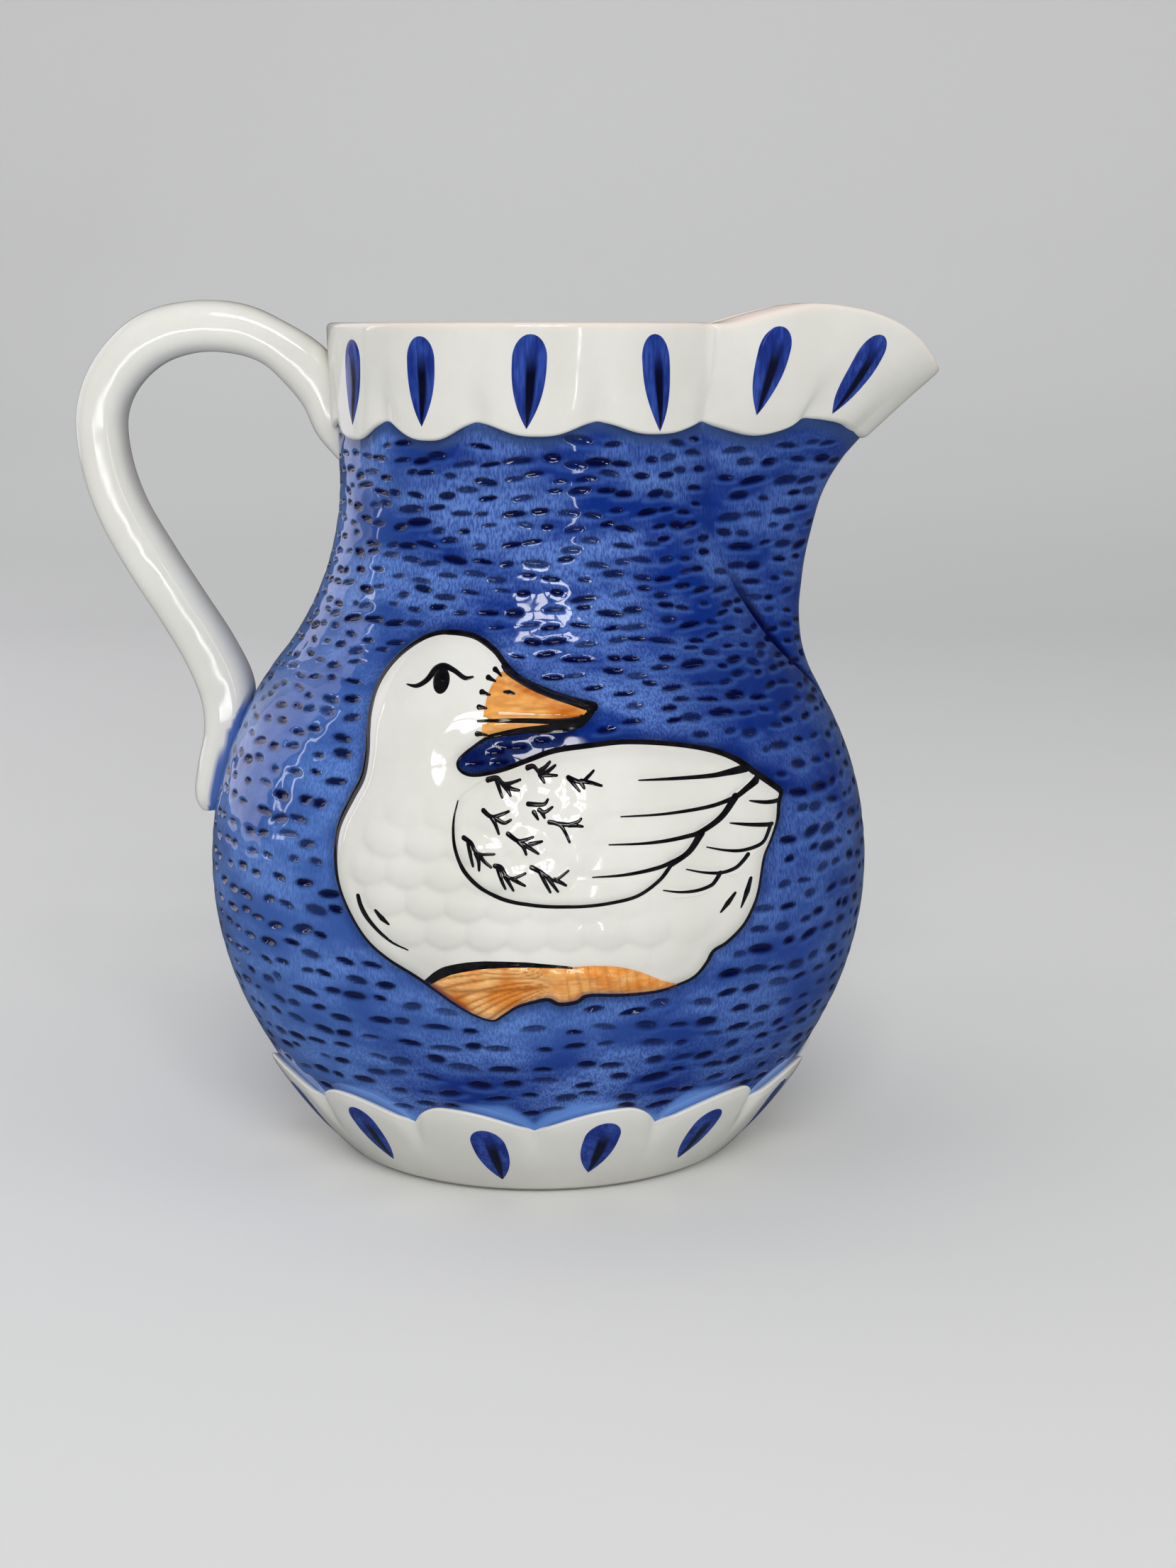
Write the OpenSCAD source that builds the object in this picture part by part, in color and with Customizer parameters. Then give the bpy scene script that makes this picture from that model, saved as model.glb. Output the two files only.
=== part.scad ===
// Glazed earthenware pitcher with a farmyard duck in relief on each side.
// Millimetres, +Z up. The spout points to +X, the handle to -X, and the front duck faces -Y.
// The origin is on the pitcher's axis, on the face that it stands on.

/* [Body] */
// Height of the rim above the table
rim_z = 210; // [205:1:216]
// Largest radius of the belly
belly_r = 84.5; // [83:0.5:86]
// Height of the belly's widest place
belly_z = 74; // [72:1:76]
// Radius of the neck at its narrowest place
neck_r = 50; // [49:0.5:51]
// Radius of the hollow curve from the shoulder to the neck
neck_curve_r = 72; // [70:1:74]
// Radius of the wall at the rim
rim_r = 51.2; // [50.5:0.1:52]
// Radius of the flatter curve below the belly
lower_curve_r = 130; // [115:1:145]
// Angle below the widest place at which that curve begins
lower_curve_from = 25.5; // [22:0.5:29]
// Thickness of the wall
wall = 4.5; // [4:0.1:5.5]
// Thickness of the floor
floor_t = 7; // [6:0.5:9]
// Radius of the hollow under the floor
foot_hollow_r = 41; // [30:1:44]
// Depth of the hollow under the floor
foot_hollow_d = 2; // [1:0.5:3]

/* [Scalloped bands] */
// How far the collar stands out of the neck
collar_t = 1.5; // [1:0.1:2.5]
// Number of lobes round the collar
collar_lobes = 12; // [10:2:14]
// Height of the collar's lowest points above the table
collar_low_z = 182.5; // [178:0.5:186]
// Depth of the collar's scallops
collar_scallop = 4; // [2:0.5:6]
// How far the band at the foot stands out of the wall
base_t = 2; // [1:0.1:3]
// Number of lobes round the foot
base_lobes = 14; // [12:2:16]
// Height of the top of the lobes round the foot
base_top_z = 27.5; // [24:0.5:32]
// Depth of the scallops round the foot
base_scallop = 6.5; // [4:0.5:9]

/* [Spout] */
// Thickness of the spout's wall
spout_wall = 4; // [3:0.5:5]
// Fullness of the spout in plan: 1 is a sharp V and 2 a round U
spout_fullness = 1.7; // [1.4:0.1:2]
// Spacing of the lobes of the collar on the spout
spout_lobe_pitch = 27; // [24:1:30]
// Distance of the first of those lobes from the axis
spout_lobe_x = 52; // [48:1:56]

/* [Handle] */
// Width of the handle's strap against its drawn width
handle_width = 1; // [0.8:0.05:1.2]
// Squareness of the strap: 2 is an oval, more is flatter
handle_square = 2.5; // [2:0.1:4]

/* [Duck] */
// Height of the duck's middle above the table
duck_z = 85; // [82:1:88]
// How far the edge of the duck stands out of the wall
duck_edge = 2; // [1.5:0.1:3]
// How far the middle of the duck's body stands out of the wall
duck_rise = 4.5; // [4:0.1:6]
// How far the wing stands out of the body
wing_t = 1.5; // [1:0.1:2.5]

/* [Hidden] */
$fn = 144;

white = "ivory";
blue = "royalblue";
orange = "darkorange";
// Level steps up one part of the wall
wall_steps = 32;
// Longer than any half of the pitcher, for cutting shapes
far = 260;

// The belly is a ball, and the neck's hollow curve touches it from outside
neck_cx = neck_r + neck_curve_r;
neck_z = belly_z + sqrt((belly_r + neck_curve_r)^2 - neck_cx^2);
shoulder_angle = atan2(neck_z - belly_z, neck_cx);
shoulder_z = belly_z + belly_r * sin(shoulder_angle);
// Centre of the flatter curve, which touches the ball from inside
lower_cx = (belly_r - lower_curve_r) * cos(lower_curve_from);
lower_cz = belly_z - (belly_r - lower_curve_r) * sin(lower_curve_from);

// Radius of the body at a height, grown by t all round
function radius_at(z, t = 0) = let (
    low = belly_z - (belly_r + t) * sin(lower_curve_from),
    high = belly_z + (belly_r + t) * sin(shoulder_angle)
)
    z < low ? lower_cx + sqrt((lower_curve_r + t)^2 - (z - lower_cz)^2) :
    z < high ? sqrt((belly_r + t)^2 - (z - belly_z)^2) :
    z < neck_z ? neck_cx - sqrt((neck_curve_r - t)^2 - (z - neck_z)^2) :
    neck_r + t + (rim_r - neck_r) * (z - neck_z) / (rim_z - neck_z);

// Place between b and c on a smooth curve through a, b, c and d
function between(a, b, c, d, t) =
    (2 * b + (c - a) * t + (2 * a - 5 * b + 4 * c - d) * t^2 + (3 * b - a - 3 * c + d) * t^3) / 2;

// A smooth open curve through the points, in a number of steps from each point to the next
function open_curve(p, steps) = let (last = len(p) - 1) [
    for (i = [0:last - 1], s = [0:steps - 1])
        between(p[max(i - 1, 0)], p[i], p[i + 1], p[min(i + 2, last)], s / steps),
    p[last]
];

// A smooth closed curve through the points
function closed_curve(p, steps) = let (n = len(p)) [
    for (i = [0:n - 1], s = [0:steps - 1])
        between(p[(i + n - 1) % n], p[i], p[(i + 1) % n], p[(i + 2) % n], s / steps)
];

// A solid skinned over rings of points, all with the same number of points
module loft(rings) {
    n = len(rings[0]);
    last = (len(rings) - 1) * n;
    polyhedron(
        points = [for (ring = rings) each ring],
        faces = [
            [for (j = [0:n - 1]) j],
            [for (j = [n - 1:-1:0]) last + j],
            for (i = [0:n:last - n], j = [0:n - 1]) let (a = i + j, b = i + (j + 1) % n)
                each [[a, b + n, b], [a, a + n, b + n]]
        ]
    );
}

// A solid between two sheets of points, each a list of levels from low to high.
// Both sheets have the same levels and columns, and the inner one lies towards the axis.
module thick_sheet(outer, inner) {
    n = len(outer[0]);
    m = len(outer);
    skip = m * n;
    last = (m - 1) * n;
    polyhedron(
        points = [for (sheet = [outer, inner]) for (level = sheet) each level],
        faces = [
            for (i = [0:n:last - n], j = [0:n - 2]) let (a = i + j, b = a + 1)
                each [[a, b + n, b], [a, a + n, b + n],
                      [skip + a, skip + b, skip + b + n], [skip + a, skip + b + n, skip + a + n]],
            for (a = [0:n - 2])
                each [[a, a + 1, skip + a + 1], [a, skip + a + 1, skip + a]],
            for (a = [last:last + n - 2])
                each [[a, skip + a + 1, a + 1], [a, skip + a, skip + a + 1]],
            for (a = [0:n:last - n])
                each [[a, skip + a + n, a + n], [a, skip + a, skip + a + n]],
            for (a = [n - 1:n:last - 1])
                each [[a, a + n, skip + a + n], [a, skip + a + n, skip + a]]
        ]
    );
}

// Half section of the body, grown by t all round
module half_section(t) {
    low_cut = belly_z - (belly_r + t) * sin(lower_curve_from);
    high_cut = belly_z + (belly_r + t) * sin(shoulder_angle);
    intersection() {
        translate([0, belly_z]) circle(belly_r + t);
        translate([0, low_cut]) square([far, high_cut - low_cut]);
    }
    intersection() {
        translate([lower_cx, lower_cz]) circle(lower_curve_r + t);
        square([far, low_cut]);
    }
    difference() {
        translate([0, high_cut]) square([(belly_r + t) * cos(shoulder_angle), neck_z - high_cut]);
        translate([neck_cx, neck_z]) circle(neck_curve_r - t);
    }
    polygon([[0, neck_z], [neck_r + t, neck_z], [rim_r + t, rim_z], [0, rim_z]]);
}

// The body between two heights as a solid, grown by t
module form(t, z0 = 0, z1 = rim_z) {
    rotate_extrude() intersection() {
        half_section(t);
        translate([0, z0]) square([far, z1 - z0]);
    }
}

// The wall between two heights
module shell(z0, z1) {
    heights = [for (i = [0:wall_steps]) z0 + (z1 - z0) * i / wall_steps];
    outside = [for (z = heights) [radius_at(z), z]];
    inside = [for (i = [wall_steps:-1:0]) [radius_at(heights[i], -wall), heights[i]]];
    rotate_extrude() polygon(concat(outside, inside));
}

// A ring of round lobes with their axes pointing out from the pitcher's axis
module lobes(count, r, z, from) {
    for (i = [0:count - 1])
        rotate([0, 0, i * 360 / count]) translate([from, 0, z]) rotate([0, 90, 0]) cylinder(r = r, h = far);
}

// Radius of a lobe from its half width and its depth
function lobe_radius(half, depth) = (half^2 + depth^2) / (2 * depth);

base_lobe_r = lobe_radius(radius_at(base_top_z + base_scallop) * sin(180 / base_lobes), base_scallop);
collar_lobe_r = lobe_radius((rim_r + collar_t) * sin(180 / collar_lobes), collar_scallop);
collar_lobe_z = collar_low_z + collar_lobe_r;

// Height, reach from the axis and half width of the spout's outside
spout_ribs = [
    [117, 72.5, 4], [123, 69.6, 12], [130, 67.5, 17.5], [138, 66.8, 20], [145, 67.3, 22.5],
    [152, 68.2, 25], [160, 70, 26.5], [167, 72, 26.5], [174, 75.6, 27], [181, 81.2, 28],
    [190, 89.5, 29.5], [199, 99.2, 30.5], [208, 106, 31], [217, 110, 31]
];
// Side view of the spout's rim, from the neck to the tip
spout_rim = [
    [38, 210], [46, 210], [57, 212.8], [68, 214.8], [80, 213.5], [90, 210], [97, 204.8], [101.2, 199]
];
// Level thickness against true thickness where the spout leans out
spout_lean = 1.3;
// Thickness of the spout's feathered lower end
spout_feather = 0.4;
// Points from the middle of the spout to its side, and levels up its wall
spout_steps = 8;
spout_levels = 22;
collar_levels = 6;
// Height at which the throat opens through the neck's wall
throat_z = 132;

spout_curve = open_curve(spout_ribs, 3);
spout_reach = [for (rib = spout_curve) [rib[0], rib[1]]];
spout_half = [for (rib = spout_curve) [rib[0], rib[2]]];
spout_rim_curve = open_curve(spout_rim, 4);
spout_low_z = spout_ribs[0][0];
spout_high_z = spout_ribs[len(spout_ribs) - 1][0];

// A point of the spout's surface, grown by t: v runs from -1 at one side to 1 at the other.
// It lies on the neck's wall, lifted a little, wherever the spout is shallower than that.
function spout_point(v, z, t, lift) = let (
    r = radius_at(min(z, rim_z)),
    half = lookup(z, spout_half) + t,
    root_x = sqrt(r^2 - half^2),
    reach = lookup(z, spout_reach) + spout_lean * t,
    x = root_x + (reach - root_x) * (1 - abs(v)^spout_fullness)
) [max(x, sqrt(r^2 - (half * v)^2) + lift), half * v, z];

// Height at which the spout's surface meets its rim, found by halving
function rim_height(v, t, low, high, turns = 14) = let (mid = (low + high) / 2)
    turns == 0 ? mid :
    lookup(spout_point(v, mid, t, 0)[0], spout_rim_curve) > mid
        ? rim_height(v, t, mid, high, turns - 1)
        : rim_height(v, t, low, mid, turns - 1);

// Lower edge of the collar at a distance from the axis along the spout
function spout_scallop(x) = let (i = max(min(round((x - spout_lobe_x) / spout_lobe_pitch), 1), 0))
    collar_lobe_z - sqrt(collar_lobe_r^2 - (x - spout_lobe_x - i * spout_lobe_pitch)^2);

// Height at which the spout's surface meets that edge, found in a few turns
function scallop_height(v, t, z, turns = 6) =
    turns == 0 ? z : scallop_height(v, t, spout_scallop(spout_point(v, z, t, 0)[0]), turns - 1);

// Places across the spout, from one side to the other
columns = [for (j = [-spout_steps:spout_steps]) j / spout_steps];

// A sheet of the spout's surface from its low end to its rim
function spout_sheet(t, lift) = let (
    tops = [for (v = columns) rim_height(v, t, collar_low_z, spout_high_z)]
) [
    for (i = [0:spout_levels]) [
        for (j = [0:len(columns) - 1])
            spout_point(columns[j], spout_low_z + (tops[j] - spout_low_z) * i / spout_levels, t, lift)
    ]
];

// A sheet of the spout's surface from the collar's lower edge to the rim
function spout_collar_sheet(t, lift) = let (
    tops = [for (v = columns) rim_height(v, t, collar_low_z, spout_high_z)],
    lows = [for (v = columns) scallop_height(v, t, collar_low_z + collar_scallop)]
) [
    for (i = [0:collar_levels]) [
        for (j = [0:len(columns) - 1])
            spout_point(columns[j], lows[j] + (tops[j] - lows[j]) * i / collar_levels, t, lift)
    ]
];

// The front of the neck or collar between the spout's sides, narrowed by inset, as a straight cut
module spout_gap(inset, from_z) {
    side = [for (rib = spout_ribs) if (rib[0] > from_z) [rib[2] - inset, rib[0]]];
    other = [for (i = [len(side) - 1:-1:0]) [-side[i][0], side[i][1]]];
    rotate([90, 0, 90]) translate([0, 0, rim_r / 2]) linear_extrude(far)
        polygon(concat([[0, from_z]], side, other));
}

// The collar's ring with its scalloped lower edge
module collar_form() {
    intersection() {
        difference() {
            form(collar_t, collar_low_z - 1);
            form(0);
        }
        lobes(collar_lobes, collar_lobe_r, collar_lobe_z, rim_r / 2);
    }
}

// Place along and up, thickness and width of the handle, from its root in the neck to its tail
handle_ribs = [
    [-47, 175.5, 3, 12], [-48, 178.5, 7, 15], [-50, 184.5, 12, 16.5], [-53, 192.6, 13.4, 16.5],
    [-58.3, 199.3, 13.4, 16.5], [-66, 205, 11.8, 16.5], [-75, 208.5, 12.6, 17], [-86, 209, 13, 17],
    [-97, 205.8, 13.4, 17], [-105.5, 198, 12.8, 17], [-109.8, 188, 12.4, 17], [-109.3, 176, 12.2, 17],
    [-105.5, 163.5, 12.4, 17], [-98.5, 150.5, 12.8, 17], [-91, 138.5, 12.8, 17], [-84.5, 127, 12.8, 17.5],
    [-80.5, 116.5, 12.6, 18.5], [-80, 106.5, 12, 19.5], [-82, 97, 12, 19], [-83.6, 90, 10.6, 17],
    [-83.4, 86.5, 7, 13]
];
// Rings from one rib of the handle to the next, and points round a ring
handle_steps = 3;
handle_sides = 16;

// Signed power, for the handle's section
function signed_power(v, e) = sign(v) * abs(v)^e;

// One ring of the handle: its place, its direction and its section
function handle_ring(rib, along) = let (
    e = 2 / handle_square,
    dir = along / norm(along)
) [
    for (j = [0:handle_sides - 1]) let (
        a = 360 * j / handle_sides,
        u = rib[2] / 2 * signed_power(cos(a), e),
        v = rib[3] / 2 * handle_width * signed_power(sin(a), e)
    ) [rib[0] + u * dir[1], v, rib[1] - u * dir[0]]
];

// The handle's strap before it is fitted to the wall
module handle_sweep() {
    ribs = open_curve(handle_ribs, handle_steps);
    last = len(ribs) - 1;
    places = [for (rib = ribs) [rib[0], rib[1]]];
    loft([for (i = [0:last]) handle_ring(ribs[i], places[min(i + 1, last)] - places[max(i - 1, 0)])]);
}

// Outlines of the duck, across and up from the duck's middle, each drawn clockwise
duck_outline = [
    [-20.5, 53.7], [-13, 52.6], [-8.4, 48.5], [-8, 40], [-11, 31.5], [-17, 26.2], [-13.5, 23.5], [-1, 27],
    [13, 30], [28, 30], [43, 26.8], [49, 22.5], [48, 14], [46, 4], [49, -3.5], [52.3, -7], [49, -13.5],
    [41.5, -19], [35, -23.2], [27, -24], [8, -23], [-15, -23.5], [-24, -23.8], [-33.8, -19], [-42.5, -9],
    [-45.8, 3], [-44, 13], [-39.2, 23], [-38.3, 34], [-35.8, 43], [-29, 50.3]
];
bill_outline = [
    [-9.5, 49], [-2.5, 44], [9, 39.6], [13.8, 37.6], [10.5, 34.3], [-2, 33], [-10.2, 31.8], [-11.6, 38],
    [-10, 43.5]
];
foot_outline = [
    [-23, -24], [-18, -19.5], [-8, -17.6], [13, -18.3], [24, -20.5], [33.5, -26], [21, -27], [12, -26.6],
    [6.5, -28.6], [0, -28], [-9, -33], [-17, -29.6]
];
wing_outline = [
    [-16.5, 19.5], [-7, 24.5], [5, 28], [20, 29.4], [36, 27.6], [47, 24], [51, 20.2], [44, 14.5], [38, 9.5],
    [31.5, 4], [24, -2.2], [8, -4.2], [-7, -2], [-15.6, 4.2], [-17.8, 12]
];
tail_outline = [
    [50, 22], [54.5, 19.3], [58.5, 15.5], [57.3, 9], [55, 2.5], [52, -4.5], [43, -4.5], [34, 0.5], [33, 5],
    [40, 10.8]
];
// Straight steps from one point of an outline to the next
outline_steps = 4;

// What of the outline is head: all above a line from the nape past the throat
head_side = [[-60, 24.5], [-17, 26], [20, 32.5], [20, 70], [-60, 70]];

// Balls that the relief is cut from: across, back from the duck's front, up from its middle, and radius
body_ball = [0.5, 77.5, -9, 77.4];
head_ball = [-10.5, 56, 15.5, 46.5];
bill_ball = [-1.7, 49.7, 17, 40];

// One of those balls, grown by t
module ball(b, t = 0) {
    translate([b[0], b[1] - belly_r - duck_rise, duck_z + b[2]]) sphere(b[3] + t);
}

// A smooth flat shape through the points of an outline
module flat(points) {
    polygon(closed_curve(points, outline_steps));
}

// A flat drawing on the front of the pitcher, as a straight prism back to the axis
module prism() {
    translate([0, 0, duck_z]) rotate([90, 0, 0]) linear_extrude(belly_r + 20) children();
}

module duck_body() {
    color(white) difference() {
        intersection() {
            ball(body_ball);
            prism() difference() {
                flat(duck_outline);
                polygon(head_side);
                flat(foot_outline);
                flat(tail_outline);
            }
        }
        form(0);
    }
}

module duck_head() {
    color(white) difference() {
        intersection() {
            ball(head_ball);
            prism() difference() {
                intersection() {
                    flat(duck_outline);
                    polygon(head_side);
                }
                flat(bill_outline);
            }
        }
        form(0);
    }
}

module duck_wing() {
    color(white) difference() {
        intersection() {
            ball(body_ball, wing_t);
            prism() difference() {
                flat(wing_outline);
                flat(tail_outline);
            }
        }
        ball(body_ball);
    }
}

module duck_tail() {
    color(white) difference() {
        intersection() {
            form(duck_edge);
            prism() flat(tail_outline);
        }
        form(0);
    }
}

module duck_bill() {
    color(orange) difference() {
        intersection() {
            ball(bill_ball);
            prism() flat(bill_outline);
        }
        form(0);
    }
}

module duck_foot() {
    color(orange) difference() {
        intersection() {
            form(duck_edge);
            prism() flat(foot_outline);
        }
        form(0);
    }
}

module foot() {
    color(white) difference() {
        form(0, 0, floor_t);
        translate([0, 0, -1]) cylinder(r = foot_hollow_r, h = foot_hollow_d + 1);
    }
}

module belly() {
    color(blue) shell(floor_t, shoulder_z);
}

module neck() {
    color(blue) difference() {
        shell(shoulder_z, rim_z);
        spout_gap(spout_wall, throat_z);
    }
}

module spout() {
    color(blue) thick_sheet(spout_sheet(0, spout_feather), spout_sheet(-spout_wall, 0));
}

module handle() {
    color(white) difference() {
        handle_sweep();
        form(0);
        collar_form();
    }
}

module collar() {
    color(white) difference() {
        collar_form();
        spout_gap(-collar_t, collar_low_z - 10);
    }
}

module spout_collar() {
    outside = spout_collar_sheet(collar_t, spout_feather);
    color(white) thick_sheet(outside, spout_collar_sheet(0, spout_feather));
}

module base_band() {
    color(white) intersection() {
        difference() {
            form(base_t, 0, base_top_z + 1);
            form(0);
        }
        lobes(base_lobes, base_lobe_r, base_top_z - base_lobe_r, foot_hollow_r);
    }
}

// The far side is the mirror image of the front
module on_back() {
    mirror([0, 1, 0]) children();
}

foot();
belly();
neck();
spout();
handle();
collar();
spout_collar();
base_band();
duck_body();  // front_duck_body
duck_head();  // front_duck_head
duck_wing();  // front_duck_wing
duck_tail();  // front_duck_tail
duck_bill();  // front_duck_bill
duck_foot();  // front_duck_foot
on_back() duck_body();  // back_duck_body
on_back() duck_head();  // back_duck_head
on_back() duck_wing();  // back_duck_wing
on_back() duck_tail();  // back_duck_tail
on_back() duck_bill();  // back_duck_bill
on_back() duck_foot();  // back_duck_foot
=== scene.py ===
"""Glazed pitcher with a farmyard duck in relief on each side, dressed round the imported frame."""
import math
import random

import bmesh
import bpy
import numpy as np
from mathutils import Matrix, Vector
from mathutils.bvhtree import BVHTree


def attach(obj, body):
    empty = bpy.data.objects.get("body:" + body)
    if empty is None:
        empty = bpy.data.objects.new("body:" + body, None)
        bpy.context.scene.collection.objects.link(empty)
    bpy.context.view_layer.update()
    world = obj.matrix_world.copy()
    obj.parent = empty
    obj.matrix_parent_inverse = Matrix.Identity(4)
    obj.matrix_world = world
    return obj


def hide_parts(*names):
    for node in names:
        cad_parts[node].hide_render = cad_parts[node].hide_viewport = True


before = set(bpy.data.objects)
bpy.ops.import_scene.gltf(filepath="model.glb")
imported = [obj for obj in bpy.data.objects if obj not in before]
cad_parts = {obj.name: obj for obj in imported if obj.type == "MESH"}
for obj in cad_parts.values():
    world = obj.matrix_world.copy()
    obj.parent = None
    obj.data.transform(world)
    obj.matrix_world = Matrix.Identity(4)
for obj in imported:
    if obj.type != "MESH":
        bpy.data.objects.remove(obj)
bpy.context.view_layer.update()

MM = 0.001
PI = math.pi
# Places of a mesh that are closer than this, in millimetres, are one
MERGE = 1e-4
# Edges that turn more than this, in degrees, stay crisp
CRISP = 65

# Curves of the turned body, in millimetres
BELLY_R, BELLY_Z = 84.5, 74.0
NECK_R, NECK_CURVE = 50.0, 72.0
RIM_R, RIM_Z = 51.2, 210.0
LOWER_R, LOWER_FROM = 130.0, math.radians(25.5)
WALL = 4.5
SKIN_T = 2.0
NECK_X = NECK_R + NECK_CURVE
NECK_Z = BELLY_Z + math.sqrt((BELLY_R + NECK_CURVE) ** 2 - NECK_X ** 2)
SHOULDER = math.atan2(NECK_Z - BELLY_Z, NECK_X)
LOWER_X = (BELLY_R - LOWER_R) * math.cos(LOWER_FROM)
LOWER_Z = BELLY_Z - (BELLY_R - LOWER_R) * math.sin(LOWER_FROM)

# Height, reach from the axis and half width of the spout
LIP_RIBS = [
    (112, 73.6, 0.4), (117, 72.5, 4), (123, 69.6, 12), (130, 67.5, 17.5), (138, 66.8, 20),
    (145, 67.3, 22.5), (152, 68.2, 25), (160, 70, 26.5), (167, 72, 26.5), (174, 75.6, 27),
    (181, 81.2, 28), (190, 90.4, 29.5), (199, 100.1, 30.5), (208, 106.2, 31), (217, 109.1, 31),
]
# Side view of the spout's rim, and of the collar's lower edge on it: distance from the axis and height
LIP_RIM = [(38, 210), (46, 210), (56.5, 212.7), (67, 214.6), (78.5, 213.3), (86, 210.9), (91.7, 207.6),
           (96.3, 203), (100, 198.8), (102, 196.4)]
LIP_EDGE = [(36, 186.4), (40.3, 186.3), (46, 184.2), (52.1, 182.9), (58.5, 184), (65.5, 186.7), (71, 186.2),
            (76.1, 184.7), (81.4, 181.4), (84, 179)]
# Fullness of the spout's plan, how much more its front grows than its sides, and its crease's softness
LIP_FULLNESS = 1.7
LIP_LEAN = 1.3
CREASE = 0.7
# The spout starts at a height and grows out of the belly over a range. Beyond its sides it falls away by
# the radian, and where its half width is under the least one it is drawn back behind the body
LIP_FROM, LIP_GROWS = 112, (114, 121)
LIP_FALL, LIP_LEAST, LIP_HIDDEN = 70, 0.3, 9
# Heights of the foot of the spout's wall, and of the seam between the belly's wall and the neck's
SPOUT_Z, SEAM_Z = 112.3, 126.9
# Valleys between the collar's lobes, in degrees from the spout, and the lobes' low points
COLLAR_VALLEYS = [37, 72.8, 105, 134, 164, 196]
COLLAR_LOWS = [184.0, 183.8, 182.6, 182.0, 182.0]
COLLAR_PEAKS = [186.3, 187.0, 186.8, 186.6, 186.2, 186.2]
# Pinches of the collar along the spout, each with what it lacks to a full one, and a distance past all
LIP_PINCHES = [(65.5, 0), (40, 0), (79, 0.8)]
NO_PINCH = 99.0
COLLAR_T = 1.5
# The band at the foot: its lobes, their valleys and crests, its radius there and how far it stands out
BASE_LOBES, BASE_VALLEY, BASE_TOP, BASE_R, BASE_T = 14, 20.8, 26.6, 70, 1.9
# Where a lobe's crest lies between its valleys, on the half towards the spout and on the other
BASE_CRESTS = 0.69, 0.31


def body_radius(z, grow=0.0):
    """Radius of the turned body at a height, grown all round."""
    z, grow = np.broadcast_arrays(np.asarray(z, float), grow)
    ball = BELLY_R + grow
    low = BELLY_Z - ball * math.sin(LOWER_FROM)
    high = BELLY_Z + ball * math.sin(SHOULDER)

    def root(square):
        return np.sqrt(np.maximum(square, 0.0))

    return np.select(
        [z < low, z < high, z < NECK_Z],
        [LOWER_X + root((LOWER_R + grow) ** 2 - (z - LOWER_Z) ** 2),
         root(ball ** 2 - (z - BELLY_Z) ** 2),
         NECK_X - root((NECK_CURVE - grow) ** 2 - (z - NECK_Z) ** 2)],
        NECK_R + grow + (RIM_R - NECK_R) * (z - NECK_Z) / (RIM_Z - NECK_Z))


def smooth_curve(points, steps, closed=False):
    """A smooth curve through the points, in steps from each point to the next."""
    p = np.asarray(points, float)
    n = len(p)
    at = (lambda i: p[i % n]) if closed else (lambda i: p[min(max(i, 0), n - 1)])
    out = []
    for i in range(n if closed else n - 1):
        a, b, c, d = at(i - 1), at(i), at(i + 1), at(i + 2)
        for s in range(steps):
            t = s / steps
            out.append((2 * b + (c - a) * t + (2 * a - 5 * b + 4 * c - d) * t ** 2
                        + (3 * b - a - 3 * c + d) * t ** 3) / 2)
    if not closed:
        out.append(p[-1])
    return np.array(out)


def ease(value, low, high):
    """0 below low, 1 above high, and a smooth rise between them."""
    t = np.clip((np.asarray(value, float) - low) / (high - low), 0.0, 1.0)
    return t * t * (3 - 2 * t)


lip_curve = smooth_curve(LIP_RIBS, 8)
lip_rim = smooth_curve(LIP_RIM, 8)
lip_edge = smooth_curve(LIP_EDGE, 8)


def lip_plan(z, grow=0.0):
    """Root, reach and half width of the spout at a height."""
    half = np.maximum(np.interp(z, lip_curve[:, 0], lip_curve[:, 2]) + grow, 0.05)
    reach = np.interp(z, lip_curve[:, 0], lip_curve[:, 1]) + LIP_LEAN * grow
    root = np.sqrt(np.maximum(body_radius(np.minimum(z, RIM_Z), grow) ** 2 - half ** 2, 0.0))
    return root, np.maximum(reach, root), half


def wrapped(turn):
    """An angle from the spout's middle, brought to half a turn either way."""
    return (np.asarray(turn, float) + PI) % (2 * PI) - PI


def lip_forward(root, reach, v):
    """How far the spout's plan reaches from the axis at a place across it, from -1 to 1."""
    return root + (reach - root) * (1 - np.abs(v) ** LIP_FULLNESS)


def narrowed(low, high, is_below, steps):
    """Halves a range, step by step, on to the place where a test turns false."""
    for _ in range(steps):
        middle = (low + high) / 2
        below = is_below(middle)
        low, high = np.where(below, middle, low), np.where(below, high, middle)
    return low, high


def lip_radius(turn, z, grow):
    """Distance of the spout's surface from the axis, at an angle from the middle of the spout."""
    root, reach, half = lip_plan(z, grow)
    away = np.abs(wrapped(turn))
    side = np.arctan2(half, root)
    slope = np.tan(np.minimum(away, side))
    middle = np.zeros(np.broadcast(slope, root).shape)
    v, _ = narrowed(middle, middle + 1.0, lambda v: half * v < slope * lip_forward(root, reach, v), 22)
    spread = np.hypot(lip_forward(root, reach, v), half * v)
    return spread - LIP_FALL * np.maximum(away - side, 0) - LIP_HIDDEN * (half < LIP_LEAST)


def skin_radius(turn, z, grow=0.0):
    """Distance of the pitcher's skin from the axis: the body's, or the spout's where that is further out."""
    body = body_radius(z, grow)
    lip = lip_radius(turn, z, grow)
    both = (body + lip + np.sqrt((body - lip) ** 2 + CREASE ** 2)) / 2
    return body + ease(z, *LIP_GROWS) * (both - body)


def skin(turn, z, grow=0.0):
    """Points of the pitcher's skin at an angle from the spout and a height."""
    r = skin_radius(turn, z, grow)
    r, turn, z = np.broadcast_arrays(r, turn, z)
    return np.stack([r * np.cos(turn), r * np.sin(turn), z], -1)


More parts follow.
